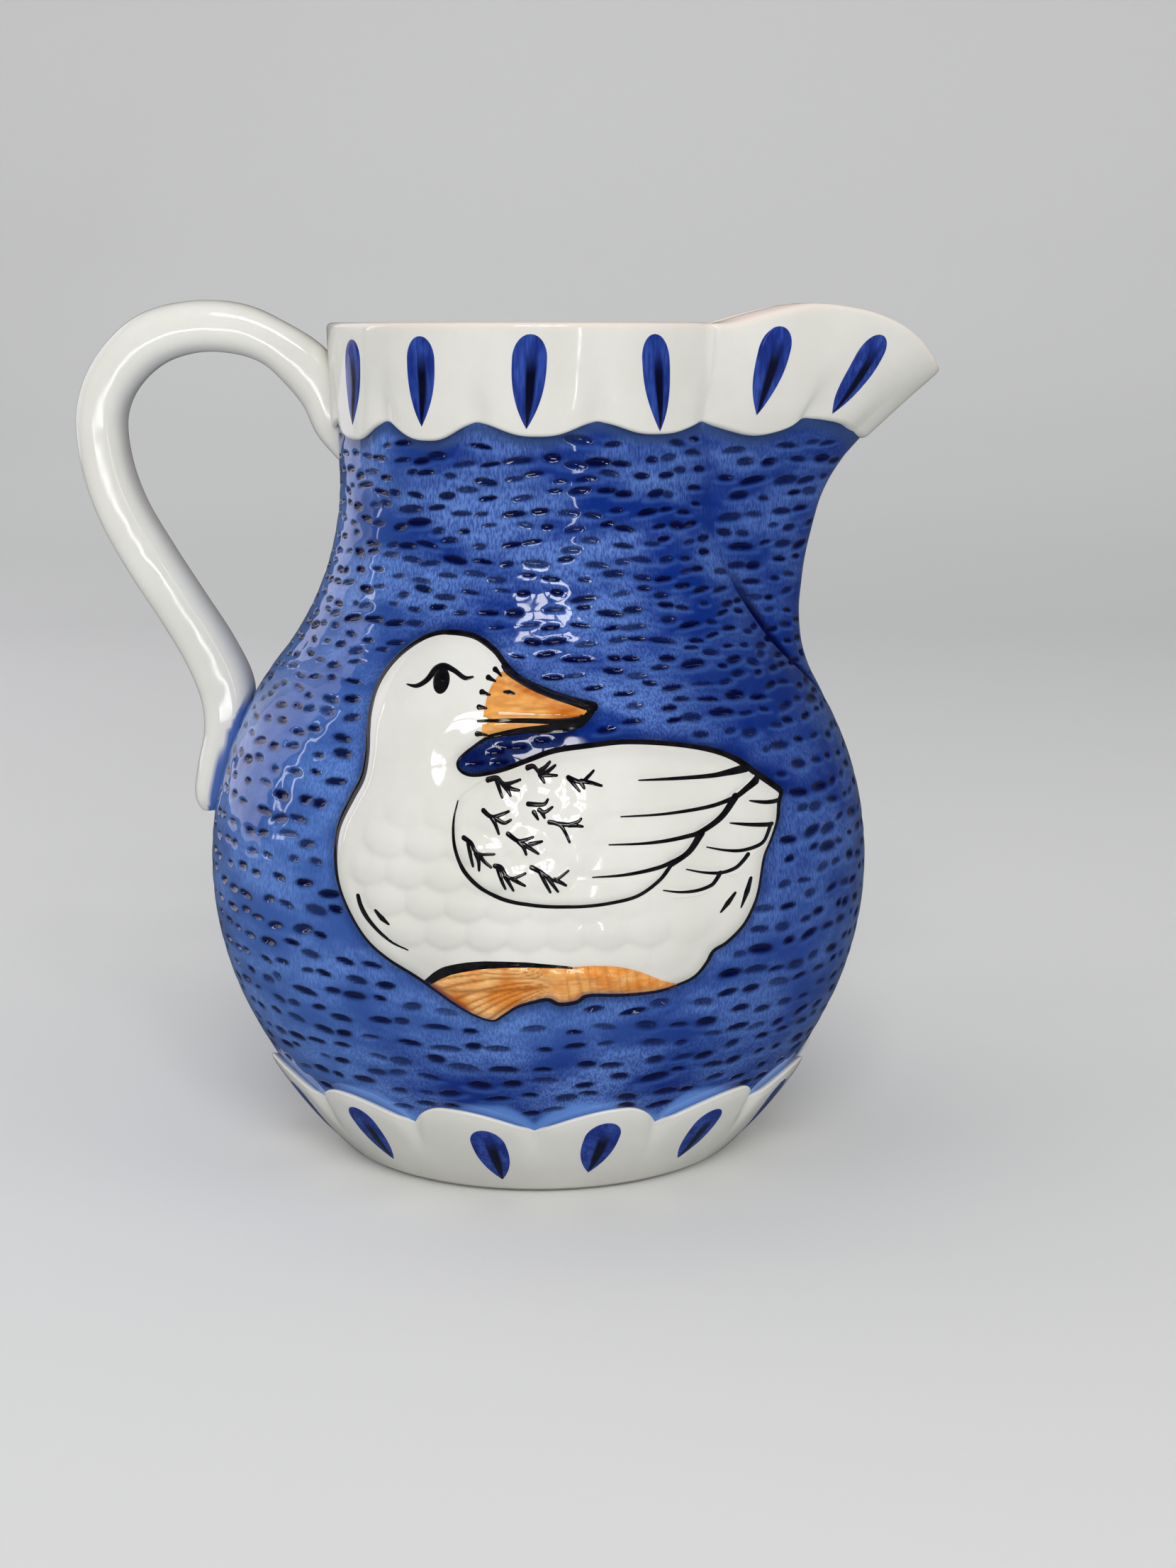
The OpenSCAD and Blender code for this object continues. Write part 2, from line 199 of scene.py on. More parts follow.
def crease_turn(z):
    """Angle from the spout's middle at which the spout leaves the body."""
    half = np.interp(z, lip_curve[:, 0], lip_curve[:, 2])
    return np.where(z < LIP_FROM, 0.0, np.arcsin(half / body_radius(np.minimum(z, RIM_Z))))


def find_rim(turn):
    """Height of the rim at an angle from the spout."""
    def under(z):
        return np.interp(skin_radius(turn, z) * np.cos(turn), lip_rim[:, 0], lip_rim[:, 1]) > z

    low, high = narrowed(np.full(turn.shape, 180.0), np.full(turn.shape, 218.0), under, 24)
    return (low + high) / 2


def find_collar(turn):
    """Height of the collar's lower edge, and the distance to the nearest pinch between its lobes."""
    away = np.degrees(turn)
    z = np.full(away.shape, COLLAR_PEAKS[0])
    pinch = np.full(away.shape, NO_PINCH)
    for i, low in enumerate(COLLAR_LOWS):
        a, b = COLLAR_VALLEYS[i:i + 2]
        u = (away - a) / (b - a)
        peak = COLLAR_PEAKS[i] + (COLLAR_PEAKS[i + 1] - COLLAR_PEAKS[i]) * u
        inside = (away >= a) & (away < b)
        z = np.where(inside, low + (peak - low) * np.abs(np.cos(PI * np.clip(u, 0, 1))) ** 3, z)
        pinch = np.where(inside, np.radians(np.minimum(away - a, b - away)) * RIM_R, pinch)
    lip = np.full(away.shape, 185.0)
    for _ in range(16):
        x = skin_radius(turn, lip) * np.cos(turn)
        lip = (lip + np.interp(x, lip_edge[:, 0], lip_edge[:, 1])) / 2
    on_lip = away < COLLAR_VALLEYS[0]
    x = skin_radius(turn, lip) * np.cos(turn)
    lip_pinch = np.minimum.reduce([np.abs(x - place) + lack for place, lack in LIP_PINCHES])
    return np.where(on_lip, lip, z), np.where(on_lip, lip_pinch, pinch)


turn_table = np.linspace(0, PI, 3001)
rim_table = find_rim(turn_table)
collar_table, pinch_table = find_collar(turn_table)


def rim_height(turn):
    """Height of the rim, read from the table."""
    return np.interp(np.abs(wrapped(turn)), turn_table, rim_table)


def collar_edge(turn):
    """Height of the collar's lower edge and the distance to its nearest pinch, read from the tables."""
    away = np.abs(wrapped(turn))
    return np.interp(away, turn_table, collar_table), np.interp(away, turn_table, pinch_table)


def base_edge(turn):
    """Height of the upper edge of the band at the foot, and the distance to its nearest pinch."""
    pitch = 2 * PI / BASE_LOBES
    count = (np.asarray(turn, float) + PI / 2) / pitch
    lobe = np.floor(count) % BASE_LOBES
    u = count - np.floor(count)
    top = BASE_TOP + 0.5 * np.sin(2.4 * lobe + 0.6)
    crest = np.where(lobe < BASE_LOBES / 2, *BASE_CRESTS) + 0.05 * np.sin(1.7 * lobe)
    t = np.where(u < crest, u / crest, (1 - u) / (1 - crest))
    steep = (u < crest) == (crest < 0.5)
    rise = np.where(steep, 1 - (1 - t) ** 1.9, np.sin(PI / 2 * t))
    return BASE_VALLEY + (top - BASE_VALLEY) * rise, np.minimum(u, 1 - u) * pitch * BASE_R


# Building


def turned(points, full=False, fields=None, outer=0):
    """A grid bent to a ring of places for each column, and closed. Fields of values go with the places.

    A thin ring whose first places, outer in number, are one side has its ends closed from side to side.
    """
    ring, columns = points.shape[:2]
    steps = columns if full else columns - 1
    bm = bmesh.new()
    place, column = bm.verts.layers.int.new("place"), bm.verts.layers.int.new("column")
    layers = [(bm.verts.layers.float.new(name), values) for name, values in (fields or {}).items()]
    bmesh.ops.create_grid(bm, x_segments=steps, y_segments=ring, size=1.0)
    for v in bm.verts:
        i = round((v.co.y + 1) / 2 * ring) % ring
        j = round((v.co.x + 1) / 2 * steps) % columns
        v.co = points[i, j]
        v[place], v[column] = i, j
        for layer, values in layers:
            v[layer] = values[i, j]
    bmesh.ops.remove_doubles(bm, verts=bm.verts[:], dist=MERGE)
    if outer:
        for end in (0, steps):
            rim = [e for e in bm.edges if e.is_boundary and all(v[column] == end for v in e.verts)
                   and len({v[place] < outer for v in e.verts}) == 1]
            bmesh.ops.bridge_loops(bm, edges=rim)
    elif not full:
        bmesh.ops.holes_fill(bm, edges=[e for e in bm.edges if e.is_boundary], sides=0)
    for name in ("place", "column"):
        bm.verts.layers.int.remove(bm.verts.layers.int[name])
    return bm


def finish(bm, name, material, nodes=()):
    """A closed bmesh in millimetres becomes a piece of the pitcher."""
    bmesh.ops.remove_doubles(bm, verts=bm.verts[:], dist=MERGE)
    bmesh.ops.recalc_face_normals(bm, faces=bm.faces[:])
    bmesh.ops.scale(bm, vec=(MM, MM, MM), verts=bm.verts[:])
    for f in bm.faces:
        f.smooth = True
    for e in bm.edges:
        e.smooth = e.calc_face_angle(0.0) < math.radians(CRISP)
    mesh = bpy.data.meshes.new(name)
    bm.to_mesh(mesh)
    bm.free()
    mesh.materials.append(material)
    piece = bpy.data.objects.new(name, mesh)
    bpy.context.collection.objects.link(piece)
    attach(piece, "root")
    if nodes:
        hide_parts(*nodes)
    return piece


def mirrored(bm):
    """The same for the far side."""
    far = bm.copy()
    bmesh.ops.scale(far, vec=(1, -1, 1), verts=far.verts[:])
    return far


# Materials


def srgb(r, g, b):
    """A colour as it is seen, 0 to 255, as the linear values that a shader takes."""
    return tuple(v / 12.92 if v <= 0.04045 else ((v + 0.055) / 1.055) ** 2.4
                 for v in (r / 255, g / 255, b / 255))


def put(tree, kind, **values):
    """A new node with its settings."""
    made = tree.nodes.new(kind)
    for key, value in values.items():
        setattr(made, key, value)
    return made


def join(tree, value, socket):
    """A link, a number or a colour for a socket."""
    if isinstance(value, bpy.types.NodeSocket):
        tree.links.new(value, socket)
    elif isinstance(value, tuple) and len(value) == 3 and socket.type == "RGBA":
        socket.default_value = (*value, 1)
    else:
        socket.default_value = value


def mixed(tree, mask, a, b):
    """One colour over another by a mask."""
    made = put(tree, "ShaderNodeMix", data_type="RGBA")
    for value, socket in ((mask, made.inputs[0]), (a, made.inputs[6]), (b, made.inputs[7])):
        join(tree, value, socket)
    return made.outputs[2]


def ramped(tree, value, low, high, to_low=0.0, to_high=1.0):
    """A value's range drawn out smoothly to another range."""
    made = put(tree, "ShaderNodeMapRange", interpolation_type="SMOOTHSTEP")
    for socket, entry in zip(made.inputs, (value, low, high, to_low, to_high)):
        join(tree, entry, socket)
    return made.outputs[0]


def reckon(tree, operation, *values):
    """The result of a sum on links and numbers."""
    made = put(tree, "ShaderNodeMath", operation=operation)
    for socket, value in zip(made.inputs, values):
        join(tree, value, socket)
    return made.outputs[0]


def field(tree, name):
    """A field of values that a mesh carries."""
    return put(tree, "ShaderNodeAttribute", attribute_name=name).outputs["Fac"]


def noise_at(tree, vector, detail):
    """Cloudy noise from 0 to 1."""
    made = put(tree, "ShaderNodeTexNoise")
    for name, value in (("Vector", vector), ("Scale", 1.0), ("Detail", detail), ("Roughness", 0.5)):
        join(tree, value, made.inputs[name])
    return made.outputs["Fac"]


def stretched(tree, scale):
    """Object coordinates drawn out by a scale, in cycles per metre."""
    coordinate = put(tree, "ShaderNodeTexCoord").outputs["Object"]
    made = put(tree, "ShaderNodeMapping")
    join(tree, coordinate, made.inputs["Vector"])
    join(tree, scale, made.inputs["Scale"])
    return made.outputs["Vector"]


def effect(name, inputs, outputs):
    """An empty shader group with named values in and out."""
    tree = bpy.data.node_groups.new(name, "ShaderNodeTree")
    for key, value in inputs.items():
        kind = "NodeSocketVector" if isinstance(value, tuple) else "NodeSocketFloat"
        tree.interface.new_socket(key, in_out="INPUT", socket_type=kind).default_value = value
    for key in outputs:
        tree.interface.new_socket(key, in_out="OUTPUT", socket_type="NodeSocketFloat")
    return tree, put(tree, "NodeGroupInput").outputs, put(tree, "NodeGroupOutput").inputs


def use(tree, group, **values):
    """A group placed in a material with its own values."""
    made = put(tree, "ShaderNodeGroup", node_tree=group)
    for key, value in values.items():
        join(tree, value, made.inputs[key])
    return made.outputs


# Soft patches and fine brush grain of a hand-laid glaze, both in cycles per metre
brush, brush_in, brush_out = effect(
    "brushed glaze", {"Patch": (70.0, 70.0, 70.0), "Grain": (900.0, 900.0, 200.0)}, ["Patches", "Grain"])
for scale, result, detail, low, high in (("Patch", "Patches", 3, 0.33, 0.67),
                                         ("Grain", "Grain", 2, 0.36, 0.64)):
    mottle = noise_at(brush, stretched(brush, brush_in[scale]), detail)
    join(brush, ramped(brush, mottle, low, high), brush_out[result])

# Slow ripple of a fired glaze, with its gloss a little uneven
gloss, gloss_in, gloss_out = effect("fired gloss", {"Smooth": 0.05, "Dull": 0.13}, ["Roughness", "Ripple"])
cloud = noise_at(gloss, stretched(gloss, (160.0, 160.0, 160.0)), 2)
join(gloss, ramped(gloss, cloud, 0.3, 0.75, gloss_in["Smooth"], gloss_in["Dull"]), gloss_out["Roughness"])
join(gloss, noise_at(gloss, stretched(gloss, (110.0, 110.0, 90.0)), 1), gloss_out["Ripple"])


def glazed(name, patch, grain, tones, dark=None, share=0.0, ripple=0.0006, smooth=0.05, dull=0.13):
    """A glaze of two tones with a share of dark grain: its material, tree, tone and colour socket."""
    made = bpy.data.materials.new(name)
    made.use_nodes = True
    tree = made.node_tree
    shader = tree.nodes["Principled BSDF"]
    surface = use(tree, gloss, Smooth=smooth, Dull=dull)
    join(tree, surface["Roughness"], shader.inputs["Roughness"])
    bump = put(tree, "ShaderNodeBump")
    bump.inputs["Distance"].default_value = ripple
    bump.inputs["Strength"].default_value = 0.6
    join(tree, surface["Ripple"], bump.inputs["Height"])
    join(tree, bump.outputs[0], shader.inputs["Normal"])
    parts = use(tree, brush, Patch=patch, Grain=grain)
    tone = mixed(tree, parts["Patches"], srgb(*tones[0]), srgb(*tones[1]))
    if dark:
        tone = mixed(tree, reckon(tree, "MULTIPLY", parts["Grain"], share), tone, srgb(*dark))
    return made, tree, tone, shader.inputs["Base Color"]


def layered(glaze, layers=()):
    """Lays more colours on a glaze, each where a field of the mesh says, and gives the finished material."""
    made, tree, tone, colour = glaze
    for name, shade in layers:
        tone = mixed(tree, field(tree, name), tone, srgb(*shade))
    join(tree, tone, colour)
    return made


# Layers over the wash: darker, paler with painted light below dimples, painted shadow under the collar,
# pooled glaze with painted shade.
blue_wash = layered(
    glazed("blue wash", (40.0, 40.0, 92.0), (2300.0, 2300.0, 620.0), ((13, 46, 127), (97, 131, 202)),
           (12, 38, 116), 0.62, ripple=0.0009, smooth=0.03, dull=0.08),
    [("deep", (12, 40, 114)), ("pale", (100, 147, 222)), ("collar_shadow", (48, 70, 116)), ("pool_and_shade", (0, 4, 52))])
white_glaze = layered(
    glazed("white glaze", (38.0, 38.0, 30.0), (500.0, 500.0, 420.0), ((217, 216, 209), (225, 224, 218)),
           (212, 208, 198), 0.10, ripple=0.0003),
    [("thin", (236, 220, 209)), ("blue", (56, 96, 172))])
# Brush streaks on the bill and the foot, with painted shade under the foot's toe.
bill_orange, foot_orange = (
    layered(glazed(name, (130.0, 130.0, 160.0), grain, tones, (176, 88, 22), 0.3),
            [("streak_and_shade", (152, 72, 14))])
    for name, grain, tones in (("bill orange", (220.0, 220.0, 900.0), ((218, 130, 48), (240, 178, 100))),
                               ("foot orange", (300.0, 820.0, 1300.0), ((232, 146, 60), (248, 194, 124)))))
black_line = layered(glazed("black brush line", (420.0, 420.0, 420.0), (1500.0, 1500.0, 1500.0),
                            ((6, 6, 10), (22, 20, 24)), smooth=0.08, dull=0.2))
bare_clay = layered(glazed("bare clay", (200.0, 200.0, 200.0), (2200.0, 2200.0, 2200.0),
                           ((214, 200, 180), (226, 214, 196)), (186, 168, 146), 0.4,
                           ripple=0.0002, smooth=0.55, dull=0.75))


def drop_glaze():
    """Blue brush drop with a dark heart below its middle, across and down its own map."""
    made, tree, tone, colour = glazed("blue drop", (260.0, 260.0, 110.0), (1500.0, 1500.0, 160.0),
                                      ((26, 48, 130), (52, 80, 166)), (14, 26, 92), 0.5)
    split = put(tree, "ShaderNodeSeparateXYZ")
    join(tree, put(tree, "ShaderNodeUVMap", uv_map="stroke").outputs[0], split.inputs[0])
    across, down = split.outputs[0], split.outputs[1]
    off = reckon(tree, "ABSOLUTE", reckon(tree, "SUBTRACT", across, 0.56))
    heart = reckon(tree, "MULTIPLY", ramped(tree, off, 0.10, 0.22, 1.0, 0.0), ramped(tree, down, 0.22, 0.55))
    join(tree, mixed(tree, heart, tone, srgb(6, 8, 34)), colour)
    return made


blue_drop = drop_glaze()


# The duck's drawing, across and up in millimetres

DUCK = [
    (-20.4, 138.7), (-13.9, 138.1), (-9.1, 135.2), (-6.3, 132), (-2.7, 129.1), (3.5, 126.3), (9.8, 124.4),
    (13.8, 123), (12.5, 120.5), (10.2, 119.2), (5.2, 118.7), (-2.6, 117.9), (-9.5, 116.8), (-13.4, 114.6),
    (-16.8, 111.7), (-16.4, 109.5), (-13.2, 108.6), (-7.1, 109.8), (-0.9, 112), (5.2, 114), (12.9, 114.9),
    (20.6, 115.4), (28.5, 114.8), (36.4, 113.5), (42.8, 111.7), (47.6, 109.4), (51.7, 106.3), (55.9, 103.1),
    (58.4, 100.8), (57.9, 98.7), (57.4, 94.6), (55.7, 90.3), (54, 86.7), (52.8, 79.9), (51.6, 76.1),
    (49.1, 71.7), (45.1, 68.2), (41.9, 66.6), (40.3, 63.9), (37.6, 60.9), (33.6, 59.3), (28.5, 58.2),
    (20.7, 58.1), (12.9, 58.5), (10.2, 57), (6.3, 56.5), (3.6, 57.7), (0.5, 57.1), (-3.3, 55.9), (-6.5, 53.7),
    (-9.2, 52.1), (-13.5, 53.4), (-18.1, 56.1), (-23.6, 60), (-27.5, 62.5), (-33.8, 66), (-38.6, 70),
    (-42.5, 75.9), (-45, 81.9), (-45.8, 87.9), (-45.4, 93.4), (-44.2, 97.3), (-41.8, 102), (-39.4, 106.6),
    (-38.5, 111.8), (-38.4, 116.7), (-38.1, 120.9), (-36.8, 125.9), (-34.1, 130.4), (-30.1, 134.4),
    (-25.2, 137.5),
]
BILL = [(-6.3, 130.9), *DUCK[4:13], (-11.2, 117.3), (-11.4, 120.2), (-10.9, 123), (-10.1, 126.4),
        (-8.4, 129.3)]
FOOT = [(-23.4, 60.2), (-21.5, 63.4), (-18, 65.3), (-13.3, 66.6), (-7.1, 67.2), (-0.9, 67.3), (7.5, 66.5),
        (13, 66.7), (20, 65.9), (25, 64), (29.5, 61.5), (33.4, 59.3), *DUCK[41:53]]
WING_EDGE = [(-16.7, 103.5), (-17.6, 99.3), (-17.5, 94.9), (-16.2, 90.4), (-14.3, 87.5), (-10.8, 84.6),
             (-6.2, 82.5), (-0.1, 81.3), (6.8, 80.8), (12.9, 80.8), (19, 81.3), (24.4, 82.5), (29.1, 85.5),
             (31.8, 88.8)]
WING_TIPS = [(35.8, 91.1), (38.7, 94.9), (43.4, 97.8), (46.9, 101.8), (52.1, 104.5)]
WING_TOP = [(x, round(z - 0.2, 1)) for x, z in DUCK[25:16:-1]] + [(-12.5, 107)]
FEATHERS = [
    [(24.3, 107.5), (32.3, 107.3), (41.1, 107.1), (45.1, 107.3), (49.9, 107.4)],
    [(20.2, 100), (29.9, 99.9), (39.4, 100.4), (44.2, 101.1), (47.1, 101.8), (50, 103.4), (52.1, 104.5)],
    [(17.5, 94.1), (25.2, 93.9), (30.7, 94.1), (35.4, 94.6), (38.4, 95.1), (43.4, 97.8), (46.9, 101.8)],
    [(13.8, 87.2), (20.6, 87.3), (26.8, 88), (31.8, 89.1), (35.8, 91.1), (38.7, 94.9)],
]
TAIL_LINES = [
    [(50.4, 100.4), (54.1, 99.5), (57.9, 99)],
    [(45.6, 96.2), (50.7, 95.1), (55.9, 94.2)],
    [(40, 91.6), (44.1, 90.4), (48.2, 89.7), (51.9, 90), (54, 90.9), (55.4, 93.6)],
    [(35.2, 87.2), (39.3, 86), (43.3, 85.4), (46.6, 85.9), (48.4, 87), (49.9, 88.5)],
    [(29.9, 83), (33.8, 82.2), (37.7, 82.1), (40.9, 82.8), (42.1, 83.8), (43.2, 85.4)],
]
TAIL = [(50.5, 105.5), (53.5, 104.6), (55.9, 102.9), (58.2, 100.8), (57.7, 98.7), (57.2, 94.6), (55.5, 90.3),
        (51.5, 88.6), (47.5, 84.8), (43.6, 84.6), (40.9, 81.8), (36, 80.9), (30, 81.8), (27.5, 86.5),
        (32, 93), (40, 100)]
FEATHER_MARKS = [
    [(-10, 107.9), (-7.9, 108.3), (-6.4, 107.4), (-4.4, 107.7), (-2.6, 108.3)],
    [(-8, 108.1), (-7.3, 106.5), (-6.6, 104.7)], [(-6.5, 107.4), (-5.4, 106.2), (-4.7, 105.1)],
    [(-5.6, 107.1), (-4.4, 106.5), (-2.8, 106.2)],
    [(-1, 110.6), (0.5, 110.9), (1.9, 109.5)], [(1.7, 110.1), (3, 110.9), (4.1, 111.9)],
    [(3, 109.7), (4, 110.4), (5.3, 111.3)], [(1.9, 109.5), (3.7, 109.4), (5.7, 109.3)],
    [(1.9, 109.5), (2.4, 108.7), (2.9, 107.9)],
    [(8.3, 108.8), (9.4, 107.6), (10.8, 106)], [(8.3, 108.8), (11.2, 107.9), (12.8, 109), (14, 110.1)],
    [(11.2, 108.1), (13.4, 107.7), (15.8, 106.9)], [(11.2, 107.8), (11.6, 107.1), (11.9, 106.6)],
    [(-10.8, 101.9), (-8.9, 100.7), (-6.5, 101.3), (-5.1, 101.8)], [(-8.9, 100.6), (-8, 99), (-7.3, 97)],
    [(-8, 100.4), (-6.1, 99.4), (-4.6, 100)],
    [(-0.7, 103.4), (2.1, 103.3), (3.1, 103.5), (3.7, 104.3)], [(1.8, 102.2), (3, 101.7), (4.7, 102.7)],
    [(0.6, 101.7), (1.5, 100.2)], [(2.4, 101.7), (3, 100.5)],
    [(4.1, 99.5), (5.4, 99.3), (6.7, 98.7), (7.7, 97.2), (8.6, 95.3)],
    [(6.2, 99.1), (8.5, 99), (10.3, 99.5), (11.2, 100.2)], [(8.5, 98.9), (10, 98.8), (11.5, 98.5)],
    [(-5.2, 97), (-3.1, 95.7), (-1.6, 95.8), (0.4, 96.4)], [(-2.8, 95.5), (-1.7, 94.3), (-1.1, 92.7)],
    [(-1.6, 94.9), (0, 93.9), (1.6, 92.8)], [(-0.2, 94.9), (2.4, 95.4)],
    [(-15.2, 96), (-13.5, 95), (-12.6, 93.5), (-11.3, 92.7), (-8.3, 92.7)],
    [(-14.1, 95), (-13.6, 92.3), (-13.1, 89.9)], [(-12.4, 92.9), (-11.8, 91.2), (-11.7, 89.1)],
    [(-11.6, 92.7), (-10.7, 91.2), (-9, 89.8)],
    [(-8.1, 90.1), (-6.7, 89.8), (-5.5, 88), (-4, 87.6), (-1.3, 88.6)],
    [(-7.4, 89.5), (-6.7, 87.4), (-5.8, 85.1)], [(-5.8, 88), (-4.9, 86.5), (-4, 84.8)],
    [(-4, 87.4), (-2.8, 86.7), (-1.4, 85.9)],
    [(0.1, 89.8), (2.1, 88.9), (3.6, 87.9), (5.4, 87.1), (8.3, 89)],
    [(2.1, 88.8), (3.2, 86.5), (4.3, 84.4)], [(3.8, 87.7), (4.8, 86.2), (6, 84.5)],
    [(5.3, 87.2), (6.7, 86.5), (7.8, 85.8)],
]
# Middles of the wing's small feathers, and half the width and height of one
COVERTS = [(-6.2, 106.8), (2.6, 109.6), (12.1, 107.6), (-7.7, 100.3), (1.8, 102.2), (8.6, 98.1), (-1.4, 94.8),
           (-11.4, 92.9), (-4.4, 87.6), (4.6, 87.4), (12.5, 101.8), (9.5, 92.5)]
COVERT_HALF = 5.2, 4.6
# Swells of the belly, the head and the breast: middle, half width, half height and rise
SWELLS = [(2, 80, 38, 24, 2.5), (-23, 124, 13, 14, 2.2), (-27, 103, 13, 14, 0.9)]
# Breast scales: rows and columns, the first one's middle, the pitch across and down, and half of one's size
SCALE_ROWS, SCALE_COLUMNS = 6, 10
SCALE_FROM, SCALE_PITCH, SCALE_HALF = (-38, 101), (9.2, 6.6), (5.4, 4.6)
# Where the scales stand out, on the breast and along the belly: middle, half width and half height
SCALED = [(-22, 86, 22, 16), (4, 74, 30, 8)]
ANKLE = (7.5, 62.5)
# Upper edge of the long toe, across and up, and the line of the toes' tips
TOE_RIDGE = ((-19.6, -11.3, 1.6, 6.2), (60.2, 60.8, 61.7, 62.6))
TOE_TIPS = [(-22.8, 59.6), (-19.5, 57), (-16.4, 54.9)]
MOUTH = [(-12.4, 120.4), (-7.3, 120.6), (-1.1, 120.6), (5.1, 120.3), (9, 120.3), (11.3, 120.7)]
# The wall under the bill, painted dark as shade where glaze also pools, and its few dimples
THROAT = [(9, 118), *DUCK[11:19], (4, 113.6)]
THROAT_DIMPLES = [(-12.8, 111.3), (-8.2, 113.7), (-7.2, 111.6), (-3, 114.8), (2.2, 116.2)]

duck_outline, bill_outline, foot_outline, tail_outline, wing_outline = (
    smooth_curve(points, 5, closed=True)
    for points in (DUCK, BILL, FOOT, TAIL, WING_EDGE + WING_TIPS + WING_TOP))
wing_line = smooth_curve(WING_EDGE + WING_TIPS, 6)


def away_from(line, x, z, closed=False):
    """Distance of places from a drawn line."""
    a = np.asarray(line, float)
    b = np.roll(a, -1, 0) if closed else a[1:]
    a = a if closed else a[:-1]
    best = np.full(np.shape(x), 1e9)
    for (ax, az), (bx, bz) in zip(a, b):
        dx, dz = bx - ax, bz - az
        t = np.clip(((x - ax) * dx + (z - az) * dz) / (dx * dx + dz * dz + 1e-9), 0, 1)
        best = np.minimum(best, (x - ax - t * dx) ** 2 + (z - az - t * dz) ** 2)
    return np.sqrt(best)


def within(line, x, z):
    """Whether places lie inside a closed line."""
    a = np.asarray(line, float)
    inside = np.zeros(np.shape(x), bool)
    for (ax, az), (bx, bz) in zip(a, np.roll(a, -1, 0)):
        if az == bz:
            continue
        cross = (az > z) != (bz > z)
        inside ^= cross & (x < (bx - ax) * (z - az) / (bz - az) + ax)
    return inside


def rounded(d, height, width, power=2.2):
    """Rise of a rounded edge at a distance from its line."""
    return height * (1 - (1 - np.clip(d / width, 0, 1)) ** power)


def dome(x, z, cx, cz, rx, rz, height):
    """Rise of a soft swell."""
    return height * np.exp(-((x - cx) / rx) ** 2 - ((z - cz) / rz) ** 2)


def bump_at(x, z, cx, cz, half):
    """A bump from 0 at its edge to 1 in its middle."""
    return np.clip(1 - ((x - cx) / half[0]) ** 2 - ((z - cz) / half[1]) ** 2, 0, 1)


def groove(line, x, z, depth, width):
    """Depth of a groove along a drawn line."""
    return depth * np.exp(-(away_from(line, x, z) / width) ** 2)


def duck_edge(x, z):
    """Distance of places from the duck's outline."""
    return away_from(duck_outline, x, z, closed=True)


def breast_scales(x, z):
    """Overlapping scales that fade out round the breast and the belly."""
    scales = np.zeros(np.shape(x))
    for row in range(SCALE_ROWS):
        for col in range(SCALE_COLUMNS):
            cx = SCALE_FROM[0] + SCALE_PITCH[0] * col + SCALE_PITCH[0] / 2 * (row % 2)
            cz = SCALE_FROM[1] - SCALE_PITCH[1] * row
            reach = min(math.hypot((cx - mx) / rx, (cz - mz) / rz) for mx, mz, rx, rz in SCALED)
            height = (1.15 - 0.4 * float(ease(cx, -16, 0))) * max(0.0, 1 - max(0.0, reach - 0.7) / 0.6)
            bump = np.sqrt(bump_at(x, z, cx, cz, SCALE_HALF))
            scales = np.maximum(scales, height * bump * ease(cz + 5 - z, 0, 6))
    return scales


def body_rise(x, z):
    """How far the duck's body and head stand out of the wall."""
    d = duck_edge(x, z)
    swells = sum(dome(x, z, *swell) for swell in SWELLS)
    return rounded(d, 2.0, 3.4) + swells * ease(d, 0, 9) + breast_scales(x, z) * ease(d, 2, 6)


def wing_rise(x, z):
    """Rise of the wing: small feathers swell on it, and grooves part the long ones."""
    d = away_from(wing_line, x, z)
    edge = duck_edge(x, z)
    rise = body_rise(x, z) + rounded(d, 1.25, 2.4, 2.0) * ease(edge, -0.5, 4) - 0.15
    for cx, cz in COVERTS:
        rise = rise + 0.85 * bump_at(x, z, cx, cz, COVERT_HALF) ** 1.3 * ease(d, 0.5, 4) * ease(edge, 0.5, 4)
    for line in FEATHERS:
        start = np.array(line[0])
        long = np.vstack([start - (7.0, 0.2), smooth_curve(line, 4)])
        rise = rise - groove(long, x, z, 0.55, 1.0) * ease(x, start[0] - 8, start[0] + 2)
    return rise


def tail_rise(x, z):
    """Rise of the tail, flush with the body beside the wing, with grooves between its feathers."""
    d = duck_edge(x, z)
    rise = body_rise(x, z) + (0.03 + 0.27 * ease(x, 29, 35)) * ease(d, 0, 2)
    for line in TAIL_LINES:
        rise = rise - groove(smooth_curve(line, 4), x, z, 0.45, 0.9) * ease(d, 0, 1.5)
    return rise


def bill_rise(x, z):
    """Rise of the bill, parted by the mouth."""
    d = duck_edge(x, z)
    base = away_from(bill_outline, x, z, closed=True)
    rise = body_rise(x, z) + 0.9 * ease(base, 0.2, 3.0) * ease(d, 0, 3)
    return rise + 0.25 - groove(MOUTH, x, z, 0.7, 0.75) * ease(d, 0, 1)


def bill_streak(x, z):
    """Brush marks that run together at the bill's tip."""
    fan = np.arctan2(z - 121.8, 18 - x)
    return 0.5 * ease(np.sin(62 * fan + 2.5 * np.sin(19 * fan)), 0.1, 1.0) * ease(x, -11, -4)


def foot_fan(x, z):
    """Web lines that run together at the ankle, and wrinkles across the leg."""
    reach = np.hypot(ANKLE[0] - x, z - ANKLE[1])
    fan = np.arctan2(z - ANKLE[1], ANKLE[0] - x) + 0.0135 * reach
    web = np.sin(fan * 62 + 1.5 * np.sin(fan * 15)) * ease(reach, 2, 7) * (1 - ease(x, 2, 7))
    return web + 0.7 * np.sin(2.8 * x + 1.2 * np.sin(0.9 * x) + 0.4 * z) * ease(x, 4, 9)


